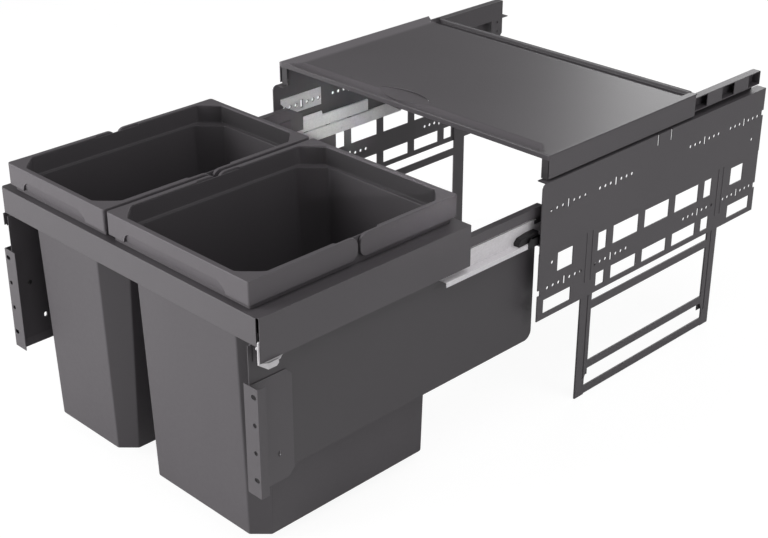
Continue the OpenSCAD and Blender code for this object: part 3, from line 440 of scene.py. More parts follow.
def cut_ring(x0, x1, y0, y1, z, cut, edge):
    """Points of a rectangle with cut, slightly rounded corners, counter-clockwise."""
    points = []
    for cx, cy, start in ((x1, y0, -90), (x1, y1, 0), (x0, y1, 90), (x0, y0, 180)):
        a = math.radians(start)
        before = Vector((math.cos(a), math.sin(a)))
        after = Vector((-before.y, before.x))
        corner = Vector((cx, cy))
        centres = (corner - before * edge - after * (edge + cut),
                   corner - before * (edge + cut) - after * edge)
        for half, centre in enumerate(centres):
            for i in range(ARC_STEPS + 1):
                t = a + EIGHTH_TURN * (half + i / ARC_STEPS)
                points.append(at(centre.x + edge * math.cos(t), centre.y + edge * math.sin(t), z))
    return points


def body_share(z):
    """How far up the body a height lies: 0 at the foot, 1 at the frame's top."""
    return (z - BIN_LOW) / (FRAME_TOP - BIN_LOW)


def bin_rings(x0, x1):
    """Rings up the outside of the bin, over its rim and down the inside."""
    rings = []

    def ring(inset_x, inset_y, z, cut, edge):
        rings.append(cut_ring(x0 + inset_x, x1 - inset_x, BIN_FRONT + inset_y, BIN_BACK - inset_y,
                              z, cut, edge))

    def outer(z, inset=0.0):
        t = body_share(z)
        ring(mix(FOOT_IN, BODY_IN, t) + inset, mix(FOOT_IN_Y, BODY_IN, t) + inset, z,
             mix(FOOT_CUT, BODY_CUT, t), OUTER_EDGE)

    def inner(z, inset=0.0):
        t = body_share(z)
        ring(mix(FOOT_IN, BODY_IN + WALL_GROWS, t) + WALL + inset,
             mix(FOOT_IN_Y, BODY_IN + WALL_GROWS, t) + WALL + inset, z,
             mix(FOOT_CUT, BODY_CUT, t) - INNER_CUT_LESS, INNER_EDGE)

    for s, c in QUARTER_ARC:
        outer(BIN_LOW + OUTER_FILLET * c, OUTER_FILLET * s)
    for z in (*WALL_LEVELS, FRAME_TOP - BELOW_FRAME, FRAME_TOP):
        outer(z)
    for inset, z, cut, edge in RIM_SECTION:
        ring(inset, inset, z, cut, edge)
    inner(STEP_TOP - STEP_SOFT, STEP_SOFT_IN)
    for z in (STEP_TOP - BELOW_STEP, *reversed(WALL_LEVELS)):
        inner(z)
    # These run upwards again, so the floor inside lies level with the fillet's upper end
    for s, c in reversed(QUARTER_ARC):
        inner(BIN_LOW + WALL + INNER_FILLET * s, INNER_FILLET * c * FLOOR_SHARE)
    return rings


def bin_painted_shade(x0, x1):
    """Painted shade: the plastic darker inside, where little light comes, and most so behind."""
    def tone(x, y, z):
        above, t = z > FRAME_TOP, body_share(z)
        wall_x = COLLAR_IN if above else mix(FOOT_IN, BODY_IN, t)
        wall_y = COLLAR_IN if above else mix(FOOT_IN_Y, BODY_IN, t)
        to_side, to_front, to_back = min(x - x0, x1 - x), y - BIN_FRONT, BIN_BACK - y
        if min(to_side - wall_x, to_front - wall_y, to_back - wall_y) <= INSIDE_FROM:
            return 1.0
        if to_back > min(to_side, to_front):
            return INSIDE_PAINTED_SHADE
        if z > BAND_LOW:
            return REAR_BAND_PAINTED_SHADE
        return mix(REAR_WALL_PAINTED_SHADE, 1.0, ease((STEP_TOP - z) / (STEP_TOP - WALL_SHADE_END)))

    return tone


def build_bin(side):
    """A bin with the four pins that its handles turn on."""
    x0, x1 = BIN_SIDES[side]

    def fill(work):
        loft(work, bin_rings(x0, x1))
        for y in PIVOTS:
            disc(work, x0 + PIN_FROM, x0 + PIN_TO, y, PIN_Z, PIN_R)
            disc(work, x1 - PIN_TO, x1 - PIN_FROM, y, PIN_Z, PIN_R)

    node = f"bin_{side}"
    mesh = plain_mesh(node + "_body", fill)
    set_painted_light(mesh, bin_painted_shade(x0, x1))
    finish_piece(node + "_body", mesh, node)


# Handles

GRIP_LOW = BIN_TOP - 32.3
ARM_T, BAR_T, BRIM_W, BRIM_T = 4.5, 4.9, 7.6, 2.4
ARM_END, BRIM_END, END_R = -328.0, -363.5, 12.0
OUTER_R, WEB_R, OPENING_CUT, CORNER_PAST = 3.0, 2.0, 26.0, 2.0
OUTER_SOFT, INNER_SOFT, WEB_SOFT = 1.1, 0.8, 0.5
# How the brim begins on an arm: distance from its end, width
BRIM_START = ((-3.0, 0.0), (-1.2, 0.4), (-0.3, 2.0), (0.6, 3.1))
# How far the brim's points stand off the straight cut of the opening's corner
BRIM_LIFT = (0.7, 0.15, 0.0, 0.0, 0.0, 0.0, 0.15, 0.7)
# The finger hollow; its slanted end as (distance in from the end, height)
FINGER_H, FINGER_DEEP, FINGER_SHALLOW, FINGER_BELOW, FINGER_PROUD = 14.5, 4.2, 1.0, -3.0, 2.0
FINGER_LEFT, FINGER_RIGHT = 34.7, 44.6
FINGER_SLANT = ((0.0, FINGER_BELOW), (0.0, 4.5), (5.5, 9.2), (14.0, FINGER_H))


def arm_stations():
    """(distance from the arm's end, top, bottom, brim width) along one arm, from its end."""
    rows = []
    for degrees in range(0, 91, 10):
        a = math.radians(degrees)
        drop = END_R * (1 - math.sin(a))
        rows.append((END_R * (1 - math.cos(a)), BIN_TOP - drop, GRIP_LOW + drop, 0.0))
    ends = ARM_END - BRIM_END
    return rows + [(ends + past, BIN_TOP, GRIP_LOW, brim) for past, brim in BRIM_START]


def corner_points():
    """Plan points of outer face, web and brim round a corner, as offsets from the corner."""
    reach, last = BRIM_W + OPENING_CUT + CORNER_PAST, len(BRIM_LIFT) - 1
    arc = [math.radians(180 + 90 * k / last) for k in range(last + 1)]

    def path(x, y, points):
        return [(x, reach), *points, (reach, y)]

    def rounded(x, y, radius):
        return path(x, y, [(x + radius + radius * math.cos(a), y + radius + radius * math.sin(a))
                           for a in arc])

    brim = [(BRIM_W + OPENING_CUT * (k / last) + lift, BRIM_W + OPENING_CUT * (1 - k / last) + lift)
            for k, lift in enumerate(BRIM_LIFT)]
    return rounded(0.0, 0.0, OUTER_R), rounded(ARM_T, BAR_T, WEB_R), path(BRIM_W, BRIM_W, brim)


def handle_section(outer, web, brim, top, low):
    """The closed section of a handle at one station, from three plan points."""
    o, w, b = Vector(outer), Vector(web), Vector(brim)
    to_web, to_brim = (w - o).normalized(), (b - o).normalized()
    places = [(o + to_web * OUTER_SOFT * s, low + OUTER_SOFT * c) for s, c in QUARTER_ARC]
    places += [(o + to_brim * OUTER_SOFT * c, top - OUTER_SOFT * s) for s, c in QUARTER_ARC]
    places += [(b - to_brim * INNER_SOFT * s, top - INNER_SOFT * c) for s, c in QUARTER_ARC]
    places += [(b, top - BRIM_T), (w, top - BRIM_T), (w, low + WEB_SOFT),
               (w - to_web * WEB_SOFT, low)]
    return [at(p.x, p.y, z) for p, z in places]


def handle_rings(x0, x1):
    """Sections from the left arm's end round the front bar to the right arm's end."""
    half = []
    for s, top, low, brim in arm_stations():
        y = ARM_END - s
        half.append(((0.0, y), (ARM_T, y), (ARM_T + brim, y), top, low))
    for points in zip(*corner_points()):
        half.append((*[(x, BIN_FRONT + y) for x, y in points], BIN_TOP, GRIP_LOW))

    def ring(edge, sign, outer, web, brim, top, low):
        return handle_section(*[(edge + sign * x, y) for x, y in (outer, web, brim)], top, low)

    return [ring(x0, 1, *s) for s in half] + [ring(x1, -1, *s) for s in reversed(half)]


def finger_cutter(x0, x1):
    """The finger hollow's volume: round at its left end, slanted at its right end."""
    xa, xb = x0 + FINGER_LEFT, x1 - FINGER_RIGHT
    outline = [(xa, FINGER_BELOW)] + [(xb - inward, h) for inward, h in FINGER_SLANT]
    for degrees in range(90, 181, 10):
        a = math.radians(degrees)
        outline.append((xa + FINGER_H + FINGER_H * math.cos(a), FINGER_H * math.sin(a)))

    def fill(work):
        front = [at(x, BIN_FRONT - FINGER_PROUD, GRIP_LOW + h) for x, h in outline]
        back = [at(x, BIN_FRONT + mix(FINGER_DEEP, FINGER_SHALLOW, h / FINGER_H), GRIP_LOW + h)
                for x, h in outline]
        loft(work, [front, back])

    return plain_mesh("finger_cutter", fill)


def turned_round(mesh):
    """The mesh mirrored front to back about the middle of the bins."""
    work = bmesh.new()
    work.from_mesh(mesh)
    middle = at(0, BIN_MIDDLE, 0).y
    for vert in work.verts:
        vert.co.y = 2 * middle - vert.co.y
    bmesh.ops.reverse_faces(work, faces=work.faces)
    return with_crisp_edges(mesh_of(work, mesh.name))


def build_handles(side):
    """A bin's two handles: the rear one is the front one mirrored."""
    x0, x1 = BIN_SIDES[side]

    def fill(work):
        loft(work, handle_rings(x0, x1))

    shaped = cut_away(plain_mesh(f"handle_{side}", fill), finger_cutter(x0, x1))
    for end, mesh in (("front", shaped), ("back", turned_round(shaped))):
        node = f"handle_{side}_{end}"
        finish_piece(node + "_grip", mesh, node)


# Shelf

SHELF_TOP, SHEET = 253.0, 1.2
SHELF_HALF, SHELF_FRONT, SHELF_BACK = 279.8, 14.5, 364.0
SKIRT_LOW, SKIRT_SOFT, SKIRT_MIDDLE, SKIRT_BACK, SKIRT_SPREAD = 218.3, 0.4, 240.0, 359.5, 0.1
BEND, EDGE_BEND = 1.6, 1.3
EDGE_ARC = [(EDGE_BEND * (1 - math.cos(a)), EDGE_BEND * (1 - math.sin(a)))
            for a in map(math.radians, (30, 60))]
# The front trough: half its length at the edge, how much shorter it gets per millimetre away
# from the edge (its ends are mitred), its most, its depth's share and the length of its slope
FRONT_TROUGH_END, FRONT_MITRE, FRONT_TROUGH_MOST = 266.0, 0.85, 261.0
FRONT_SHARE, FRONT_SLOPE = 0.72, 8.0
# The rear trough: its ends, their slope, and how much shallower it is near the rails
REAR_LEFT, REAR_RIGHT, REAR_SLOPE = -256.0, 268.0, 2.5
RAIL_NEAR, RAIL_CLEAR, RAIL_SLOPE = 256.0, 0.8, 5.0
# The rear edge's rise: its height, where it begins along the edge and how long its slope is,
# and how far it is kept away from the edge before it falls off
REAR_RISE, RISE_FROM, RISE_SLOPE, RISE_KEPT, RISE_FALL = 1.5, -1.0, 1.5, 2.0, 2.0
# The lips: their depth, and a point between (in front its depth, behind its share of the depth)
LIP_DEEP, LIP_HALF, LIP_SHARE = 8.0, 4.5, 0.6
# The rear lip by the rails: its depth, how far from the middle that begins, and its least
LIP_AT_RAIL, LIP_NARROW, LIP_LEAST = 6.4, 240.8, 1.25
# The rear left corner is cut off at a slant; the points along the cut are kept this far apart
CUT_FROM, CUT_FRONT, CUT_SLOPE, CUT_STEP = -255.1, 341.5, 0.74, 0.02
# An edge with its trough in section: distance from the edge, depth below the top
EDGE_SECTION = (
    (1.3, -0.05), (1.9, 0.0), (2.5, 0.05), (2.9, 0.35), (3.1, 1.0), (3.3, 2.6), (3.5, 4.4),
    (3.9, 5.5), (4.9, 6.1), (6.5, 6.2), (8.5, 6.2), (10.5, 5.9), (13.0, 5.1), (17.0, 3.6),
    (21.0, 2.0), (24.5, 0.75), (27.0, 0.15), (29.0, 0.0),
)
MIDDLE_PLACES = (80.0, 140.0, 200.0, 260.0, 310.0)
# Points at a column's front and rear ends that the folded sides don't take over
FRONT_POINTS, REAR_POINTS = 5, 7
# Distances from the middle, closer together at the ends of the troughs
HALF_STATIONS = (
    0.0, 70.0, 140.0, 200.0, 228.0, 238.0, 242.0, 244.0, 246.0, 248.0, 250.0, 252.5, 254.0,
    255.0, 255.6, 257.0, 262.0, 265.0, 266.0, 267.0, 268.0, 269.2, 273.0, SHELF_HALF - BEND,
)
# Painted light and painted shade on the paint, and where they hold: a painted sheen on the left
# band, painted light in the front trough, painted shade on both lips
LEFT_BAND_PAINTED_SHEEN, BAND_FROM, BAND_TO = 1.75, 242.0, 254.0
FRONT_TROUGH_PAINTED_LIGHT, FRONT_LIGHT_FROM, FRONT_LIGHT_TO = 1.2, 17.0, 41.0
FRONT_LIP_PAINTED_SHADE, FRONT_LIP_TO = 0.76, SHELF_FRONT + 0.2
REAR_LIP_PAINTED_SHADE, REAR_LIP_FROM = 0.72, 352.5


def front_share(x, y):
    """How deep the front trough is at a distance from the edge; its ends are mitred."""
    end = min(FRONT_TROUGH_END - FRONT_MITRE * y, FRONT_TROUGH_MOST)
    return FRONT_SHARE * ease((end - abs(x)) / FRONT_SLOPE)


def shelf_column(x):
    """Points of the shelf's top across its depth at one place along its width."""
    inside = min(x - REAR_LEFT, REAR_RIGHT - x)
    rear = ease(inside / REAR_SLOPE) * mix(1.0, RAIL_CLEAR, ease((abs(x) - RAIL_NEAR) / RAIL_SLOPE))
    rise = REAR_RISE * ease((inside - RISE_FROM) / RISE_SLOPE)
    lip = LIP_DEEP if abs(x) < LIP_NARROW else (LIP_AT_RAIL if inside > 0 else SHEET)
    column = [(SHELF_FRONT, -drop) for drop in (LIP_DEEP, LIP_HALF, EDGE_BEND)]
    column += [(SHELF_FRONT + along, -down) for along, down in EDGE_ARC]
    column += [(SHELF_FRONT + y, -deep * front_share(x, y)) for y, deep in EDGE_SECTION]
    column += [(y, 0.0) for y in MIDDLE_PLACES]
    for y, deep in reversed(EDGE_SECTION):
        kept = rise * (1 - ease((y - RISE_KEPT) / RISE_FALL))
        column.append((SHELF_BACK - y, kept - deep * rear))
    column += [(SHELF_BACK - along, rise - down) for along, down in reversed(EDGE_ARC)]
    for drop in (EDGE_BEND, LIP_SHARE * lip, lip):
        column.append((SHELF_BACK, (rise if drop < lip else 0.0) - max(drop, LIP_LEAST)))
    if x < CUT_FROM:
        last = CUT_FRONT + CUT_SLOPE * (CUT_FROM - x)
        column = [(min(y, last + CUT_STEP * i), z) for i, (y, z) in enumerate(column)]
    return [at(x, y, SHELF_TOP + dz) for y, dz in column]


def shelf_painted_light(x, y, z):
    """Painted light and shade on the paint: a painted sheen at the left, painted light in the front
    trough, painted shade on the lips.
    """
    if y > REAR_LIP_FROM and REAR_LEFT < x < REAR_RIGHT:
        return REAR_LIP_PAINTED_SHADE
    if y < FRONT_LIP_TO and abs(x) < SHELF_HALF - BEND:
        return FRONT_LIP_PAINTED_SHADE
    if FRONT_LIGHT_FROM < y < FRONT_LIGHT_TO and front_share(x, y - SHELF_FRONT) > 0:
        return FRONT_TROUGH_PAINTED_LIGHT
    return mix(1.0, LEFT_BAND_PAINTED_SHEEN, ease((-x - BAND_FROM) / (BAND_TO - BAND_FROM)))


def shelf_surface(work):
    """The shelf's upper side as one surface: its top, both lips and the two folded sides."""
    def join(left, right):
        for i in range(len(left) - 1):
            work.faces.new((left[i], left[i + 1], right[i + 1], right[i]))

    stations = [-x for x in reversed(HALF_STATIONS[1:])] + list(HALF_STATIONS)
    columns = [[work.verts.new(p) for p in shelf_column(x)] for x in stations]
    for left, right in zip(columns, columns[1:]):
        join(left, right)
    bend = [math.radians(d) for d in (30, 60, 90)]
    places = [(SHELF_HALF - BEND * (1 - math.sin(a)), SHELF_TOP - BEND * (1 - math.cos(a)))
              for a in bend]
    places += [(SHELF_HALF, z) for z in (SKIRT_MIDDLE, SKIRT_LOW + SKIRT_SOFT, SKIRT_LOW)]
    for sign, edge in ((-1, columns[0]), (1, columns[-1])):
        last = edge[FRONT_POINTS:-REAR_POINTS]
        for x, z in places:
            row = []
            for i, vert in enumerate(last):
                y = min(in_mm(vert.co)[1], SKIRT_BACK + SKIRT_SPREAD * i / len(last))
                row.append(work.verts.new(at(sign * x, y if i else SHELF_FRONT, z)))
            join(last, row)
            last = row


def build_shelf():
    """The shelf's sheet, with an opening for the pad."""
    work = bmesh.new()
    shelf_surface(work)
    bmesh.ops.recalc_face_normals(work, faces=work.faces)
    flat = max(work.faces, key=lambda face: face.calc_area() * abs(face.normal.z))
    if flat.normal.z < 0:
        bmesh.ops.reverse_faces(work, faces=work.faces)
    holder = scratch_object(mesh_of(work, "shelf_tray_sheet"))
    thick = holder.modifiers.new("sheet", "SOLIDIFY")
    thick.thickness = SHEET * MM
    thick.offset = -1.0

    def fill_opening(work):
        outline = pad_outline(PAD_GAP)
        levels = (SHELF_TOP - OPENING_H, SHELF_TOP + OPENING_H)
        loft(work, [[at(x, y, z) for x, y in outline] for z in levels])

    mesh = cut_away(worked_in(holder, "shelf_tray_sheet"), plain_mesh("pad_opening", fill_opening))
    # Painted sheen, painted light and painted shade on the sheet
    set_painted_light(mesh, shelf_painted_light)
    finish_piece("shelf_tray_sheet", mesh, "shelf_tray", "shelf_paint_with_painted_light")


# The grip pad, let into the shelf

PAD_X, PAD_Y = -30.0, 46.5
PAD_LEN, PAD_W, PAD_DISH, PAD_T = 110.0, 38.0, 2.2, 4.4
PAD_GAP, PAD_SIDE, PAD_SUNK, PAD_SOFT = 0.15, 0.05, 0.04, 0.25
OUTLINE_SHARE, PAD_SHARE = 0.995, 0.99
PAD_STEPS = 40
PAD_ACROSS = (-1.0, -0.93, -0.6, -0.2, 0.2, 0.6, 0.93, 1.0)
OPENING_H = 4.0


def pad_places(share):
    """Places along the pad from its middle, over a share of its length."""
    half = PAD_LEN / 2 * share
    return [-half + 2 * half * i / PAD_STEPS for i in range(PAD_STEPS + 1)]


def pad_half_width(x, grow=0.0):
    """Half the lens's width at a distance from its middle."""
    r = (PAD_LEN ** 2 / 4 + PAD_W ** 2 / 4) / PAD_W
    return max(0.0, math.sqrt(max(0.0, (r + grow) ** 2 - x * x)) - (r - PAD_W / 2))


def pad_outline(grow):
    """The lens in plan, a little wider than the pad."""
    xs = pad_places(OUTLINE_SHARE)
    near = [(PAD_X + x, PAD_Y - pad_half_width(x, grow) - PAD_SIDE) for x in xs]
    far = [(PAD_X + x, PAD_Y + pad_half_width(x, grow) + PAD_SIDE) for x in reversed(xs)]
    return near + far


def pad_depth(x):
    """How far the dished top lies below its ends."""
    r = (PAD_LEN ** 2 / 4 + PAD_DISH ** 2) / (2 * PAD_DISH)
    return PAD_DISH - (r - math.sqrt(r * r - x * x))


def build_pad():
    """The grip pad: a lens let into the shelf, its top dished along its length."""
    def fill(work):
        rings = []
        for x in pad_places(PAD_SHARE):
            w, top = pad_half_width(x), SHELF_TOP - pad_depth(x) - PAD_SUNK
            ring = [(PAD_Y + w * a, top - (PAD_SOFT if abs(a) == 1 else 0.0)) for a in PAD_ACROSS]
            ring += [(PAD_Y + w, SHELF_TOP - PAD_T), (PAD_Y - w, SHELF_TOP - PAD_T)]
            rings.append([at(PAD_X + x, y, z) for y, z in ring])
        loft(work, rings)

    finish_piece("grip_pad", plain_mesh("grip_pad", fill), "shelf_pad")


# The right front catch: a strip, a sloping foot and a tab that hangs from its flange

STRIP_IN, STRIP_OUT, FOOT_OUT = 272.3, 273.8, 279.0
CATCH_SHEET = 1.4
STRIP_FRONT, STRIP_BACK, STRIP_TOP = -510.2, -472.0, 166.5
STRIP_CUT_Y, STRIP_CUT_Z = 1.6, 2.1
FOOT_TOP, FOOT_FRONT, FOOT_BACK, FOOT_INTO = 136.8, -507.2, -480.0, 0.8
FLANGE_DROP, FLANGE_INTO, FLANGE_DEPTH = 1.6, 1.2, (-1.0, 0.9, 0.0)
TAB_FRONT, TAB_BACK, TAB_LOW, TAB_CUT_Y, TAB_CUT_Z = -499.4, -482.6, 128.0, 3.4, 2.8
# Its rivet head: from x, to x, y, z, radius and corners around
CATCH_HEAD = (STRIP_IN - 2.2, STRIP_IN + 0.2, -508.6, 157.4, 2.6, 20)


def build_catch():
    strip_low = FOOT_TOP - CATCH_SHEET
    strip = [(STRIP_FRONT, strip_low), (STRIP_BACK, strip_low), (STRIP_BACK, STRIP_TOP),
             (STRIP_FRONT + STRIP_CUT_Y, STRIP_TOP), (STRIP_FRONT, STRIP_TOP - STRIP_CUT_Z)]
    foot_in, flange_in = STRIP_OUT - FOOT_INTO, STRIP_OUT - FLANGE_INTO
    foot = [(foot_in, FOOT_FRONT, FOOT_TOP), (FOOT_OUT, TAB_FRONT, FOOT_TOP),
            (FOOT_OUT, FOOT_BACK, FOOT_TOP), (foot_in, STRIP_BACK, FOOT_TOP)]
    flange = [(flange_in, STRIP_FRONT, FOOT_TOP), (FOOT_OUT, TAB_FRONT, FOOT_TOP),
              (FOOT_OUT, TAB_FRONT, TAB_LOW), (flange_in, STRIP_FRONT, FOOT_TOP - FLANGE_DROP)]
    tab = [(TAB_FRONT, FOOT_TOP), (TAB_FRONT, TAB_LOW), (TAB_BACK - TAB_CUT_Y, TAB_LOW),
           (TAB_BACK, TAB_LOW + TAB_CUT_Z), (TAB_BACK, FOOT_TOP)]

    def fill(work):
        slab_x(work, 1, STRIP_IN, STRIP_OUT, strip)
        slab(work, foot, (0.0, 0.0, -CATCH_SHEET))
        slab(work, flange, FLANGE_DEPTH)
        slab_x(work, 1, FOOT_OUT - CATCH_SHEET, FOOT_OUT, tab)
        disc(work, *CATCH_HEAD)

    name = "front_catch_right_piece"
    # The catch takes the darker zinc, which is painted shade
    finish_piece(name, plain_mesh(name, fill), "front_catch_right", "catch_zinc_painted_shade")


# The stop blocks: a body with a sloping front end, a bridge and a skirt outside the rail's lip

STOP_IN, STOP_OUT, STOP_SKIRT, STOP_OVER, STOP_SKIRT_T = 263.6, 273.5, 277.1, 0.5, 1.4
STOP_END, BRIDGE_FROM, BRIDGE_LOW, BRIDGE_TOP = 5.0, -13.0, 134.6, 136.2
STOP_BODY = [(-36.0, 128.6), (STOP_END, 128.6), (STOP_END, 141.0), (-13.0, 141.0), (-31.0, 138.6),
             (-36.5, 133.0)]
STOP_OUTER = [(-19.0, 121.6), (STOP_END, 121.6), (STOP_END, BRIDGE_TOP), (-15.0, BRIDGE_TOP),
              (-19.0, 131.0)]


def build_stop(side):
    sign = 1 if side == "right" else -1

    def fill(work):
        slab_x(work, sign, STOP_IN, STOP_OUT, STOP_BODY)
        slab_x(work, sign, STOP_OUT - STOP_OVER, STOP_SKIRT,
               upright(BRIDGE_FROM, STOP_END, BRIDGE_LOW, BRIDGE_TOP))
        slab_x(work, sign, STOP_SKIRT - STOP_SKIRT_T, STOP_SKIRT, STOP_OUTER)

    node = f"stop_block_{side}"
    finish_piece(node + "_piece", plain_mesh(node + "_piece", fill), node)


# What repeats: rivets, screws and rollers, set out with Geometry Nodes

LOOSE_TURN, SEED = math.tau, 7
# The templates face -X; turns that leave them so or face them +X
TO_LEFT = (0.0, 0.0, 0.0)
TO_RIGHT = (0.0, 0.0, math.pi)
# The wheels' diameter where it shows; the CAD's are larger and reach down behind the rail's lip
WHEEL_MOST = 13.0


def rivet_head(d, h):
    """A flat pressed rivet head with a small dimple, facing -X."""
    r = d / 2
    return turned("rivet_head", [(0.0, r), (-0.35 * h, r), (-0.75 * h, 0.92 * r), (-h, 0.72 * r),
                                 (-h, 0.36 * r), (-0.7 * h, 0.3 * r), (-0.7 * h, 0.02 * r)])


def screw_head(d, h):
    """A countersunk screw head with a round recess, facing -X."""
    r = d / 2
    return turned("screw_head", [(0.0, r), (-0.2 * h, r), (-0.6 * h, 0.8 * r), (-h, 0.55 * r),
                                 (-h, 0.34 * r), (-0.2 * h, 0.26 * r), (-0.2 * h, 0.02 * r)], 24)


def wheel(d, t):
    """A runner roller: round tread, set-back web and a raised hub."""
    r = d / 2
    half = [(t, 0.22 * r), (t, 0.34 * r), (0.72 * t, 0.4 * r), (0.72 * t, 0.74 * r),
            (0.96 * t, 0.8 * r), (0.96 * t, 0.94 * r), (0.86 * t, r), (0.14 * t, r),
            (0.04 * t, 0.94 * r), (0.0, 0.8 * r)]
    return turned("roller_wheel", [(t, 0.02 * r)] + half + [(0.0, 0.02 * r)])


def islands(node):
    """(lowest corner, highest corner) of each separate solid of a node."""
    work = cad_solid(node)
    seen, found = set(), []
    for start in work.verts:
        if start in seen:
            continue
        group, queue = [], [start]
        seen.add(start)
        while queue:
            vert = queue.pop()
            group.append(vert.co.copy())
            for edge in vert.link_edges:
                other = edge.other_vert(vert)
                if other not in seen:
                    seen.add(other)
                    queue.append(other)
        found.append((Vector(map(min, zip(*group))), Vector(map(max, zip(*group)))))
    work.free()
    return found


def repeat_tree():
    """Geometry Nodes: the template on every point, turned as the point says."""
    tree = bpy.data.node_groups.new("repeat_on_points", "GeometryNodeTree")
    for name, way, kind in (("Geometry", "INPUT", "Geometry"), ("Template", "INPUT", "Object"),
                            ("Loose turn", "INPUT", "Float"), ("Seed", "INPUT", "Int"),
                            ("Geometry", "OUTPUT", "Geometry")):
        tree.interface.new_socket(name, in_out=way, socket_type="NodeSocket" + kind)
    new, link = tree.nodes.new, tree.links.new
    start, end = new("NodeGroupInput"), new("NodeGroupOutput")
    template = new("GeometryNodeObjectInfo")
    template.transform_space = "ORIGINAL"
    template.inputs["As Instance"].default_value = True
    link(start.outputs["Template"], template.inputs["Object"])
    turn = new("GeometryNodeInputNamedAttribute")
    turn.data_type = "FLOAT_VECTOR"
    turn.inputs["Name"].default_value = "turn"
    loose = new("FunctionNodeRandomValue")
    loose.data_type = "FLOAT"
    link(start.outputs["Loose turn"], loose.inputs[3])
    link(start.outputs["Seed"], loose.inputs["Seed"])
    spin = new("ShaderNodeCombineXYZ")
    link(loose.outputs[1], spin.inputs["X"])
    total = new("ShaderNodeVectorMath")
    total.operation = "ADD"
    link(turn.outputs["Attribute"], total.inputs[0])
    link(spin.outputs["Vector"], total.inputs[1])
    rotation = new("FunctionNodeEulerToRotation")
    link(total.outputs["Vector"], rotation.inputs["Euler"])
    place = new("GeometryNodeInstanceOnPoints")
    link(start.outputs["Geometry"], place.inputs["Points"])
    link(template.outputs["Geometry"], place.inputs["Instance"])
    link(rotation.outputs["Rotation"], place.inputs["Rotation"])
    real = new("GeometryNodeRealizeInstances")
    link(place.outputs["Instances"], real.inputs["Geometry"])
    link(real.outputs["Geometry"], end.inputs["Geometry"])
    return tree


REPEAT_TREE = repeat_tree()


def repeated(name, node, points, template):
    """The template mesh on every (place, turn) point, as one piece."""
    cloud = bpy.data.meshes.new(name + "_points")
    cloud.from_pydata([place for place, _ in points], [], [])
    turns = cloud.attributes.new("turn", "FLOAT_VECTOR", "POINT")
    for item, (_, turn) in zip(turns.data, points):
        item.vector = turn
    holder, model = scratch_object(cloud), scratch_object(template)
    setup = holder.modifiers.new("repeat", "NODES")
    setup.node_group = REPEAT_TREE
    values = {"Template": model, "Loose turn": LOOSE_TURN, "Seed": SEED}
    for item in REPEAT_TREE.interface.items_tree:
        if item.in_out == "INPUT" and item.name in values:
            setup[item.identifier] = values[item.name]
    mesh = worked_in(holder, name)
    bpy.data.objects.remove(model)
    finish_piece(name, with_crisp_edges(mesh), node)


def build_heads(name, node, head):
    """Rivet or screw heads, all of which face the middle of the unit."""
    points = []
    for low, high in islands(node):
        middle, size = (low + high) / 2, high - low
        x, turn = (high.x, TO_LEFT) if middle.x > 0 else (low.x, TO_RIGHT)
        points.append(((x, middle.y, middle.z), turn))
    repeated(name, node, points, head(size.y / MM, size.x / MM))


def build_wheels(node):
    """A node's rollers, each with its upper edge where the CAD's is."""
    points = []
    for low, high in islands(node):
        middle, size = (low + high) / 2, high - low
        d = min(size.y / MM, WHEEL_MOST)
        x, turn = (low.x, TO_LEFT) if middle.x > 0 else (high.x, TO_RIGHT)
        points.append(((x, middle.y, high.z - d / 2 * MM), turn))
    repeated(node + "_wheels", node, points, wheel(d, size.x / MM))


# The other pieces: their solids with soft edges, as folded sheet and small mouldings

# How wide folds and moulded edges are rounded, and in how many steps
FOLD, MOULD, SOFT_STEPS = 1.1 * MM, 0.8 * MM, 3
# Edges under this angle or length stay as they are
BEND_ANGLE, LEAST_EDGE = math.radians(50), 2.5 * MM
# Walls narrower than this are a sheet's cut edges; the rounding's shares there and in hollows
LEAST_WALL, CUT_SHARE, INNER_SHARE = 2.4 * MM, 0.18, 0.3
FLAT_WITHIN = math.radians(0.5)
# Middle members: web, sheet, upper edges, and folds as (front, back, top)
MID_WEB, MID_SHEET, MID_TOP = 262.0, 1.5, 146.5
EAR_FOLD, EAR_FOLD_OUT = (-178.0, 7.0, 156.5), 3.0
TOP_FOLD, TOP_FOLD_OUT = (88.0, 195.0, MID_TOP), 2.6
FOLD_SHEET = 1.2
LEFT_EAR = [(7.0, MID_TOP), (90.0, MID_TOP), (88.0, 154.4), (7.0, 154.4)]
# The top of the fixed members' lower hook lip: what lies above the first goes to the second
HOOK_LIP_TOP, HOOK_LIP_SEEN = 124.5, 121.8


def lower_hook_lip(work):
    """The lip under the rollers ends a little lower than the CAD's, so the rollers show."""
    top = at(0, 0, HOOK_LIP_TOP).z
    for vert in work.verts:
        if vert.co.z > top:
            vert.co.z = at(0, 0, HOOK_LIP_SEEN).z


def middle_folds(side):
    """What the middle member has besides its CAD form: narrow outward folds along its edges."""
    sign = 1 if side == "right" else -1

    def add(work):
        face = MID_WEB + MID_SHEET
        for (front, back, top), out in ((EAR_FOLD, EAR_FOLD_OUT), (TOP_FOLD, TOP_FOLD_OUT)):
            slab_x(work, sign, face, face + out, upright(front, back, top - FOLD_SHEET, top))
        if side == "left":
            slab_x(work, sign, MID_WEB, face, LEFT_EAR)

    return add


RESHAPED = {"runner_fixed_left": lower_hook_lip, "runner_fixed_right": lower_hook_lip,
            "runner_middle_left": middle_folds("left"),
            "runner_middle_right": middle_folds("right")}
# The drawer sides take the darker paint, which is painted shade
FINISH_OF = {"shelf_cap_": "cap_paint", "drawer_side_": "side_paint_painted_shade"}


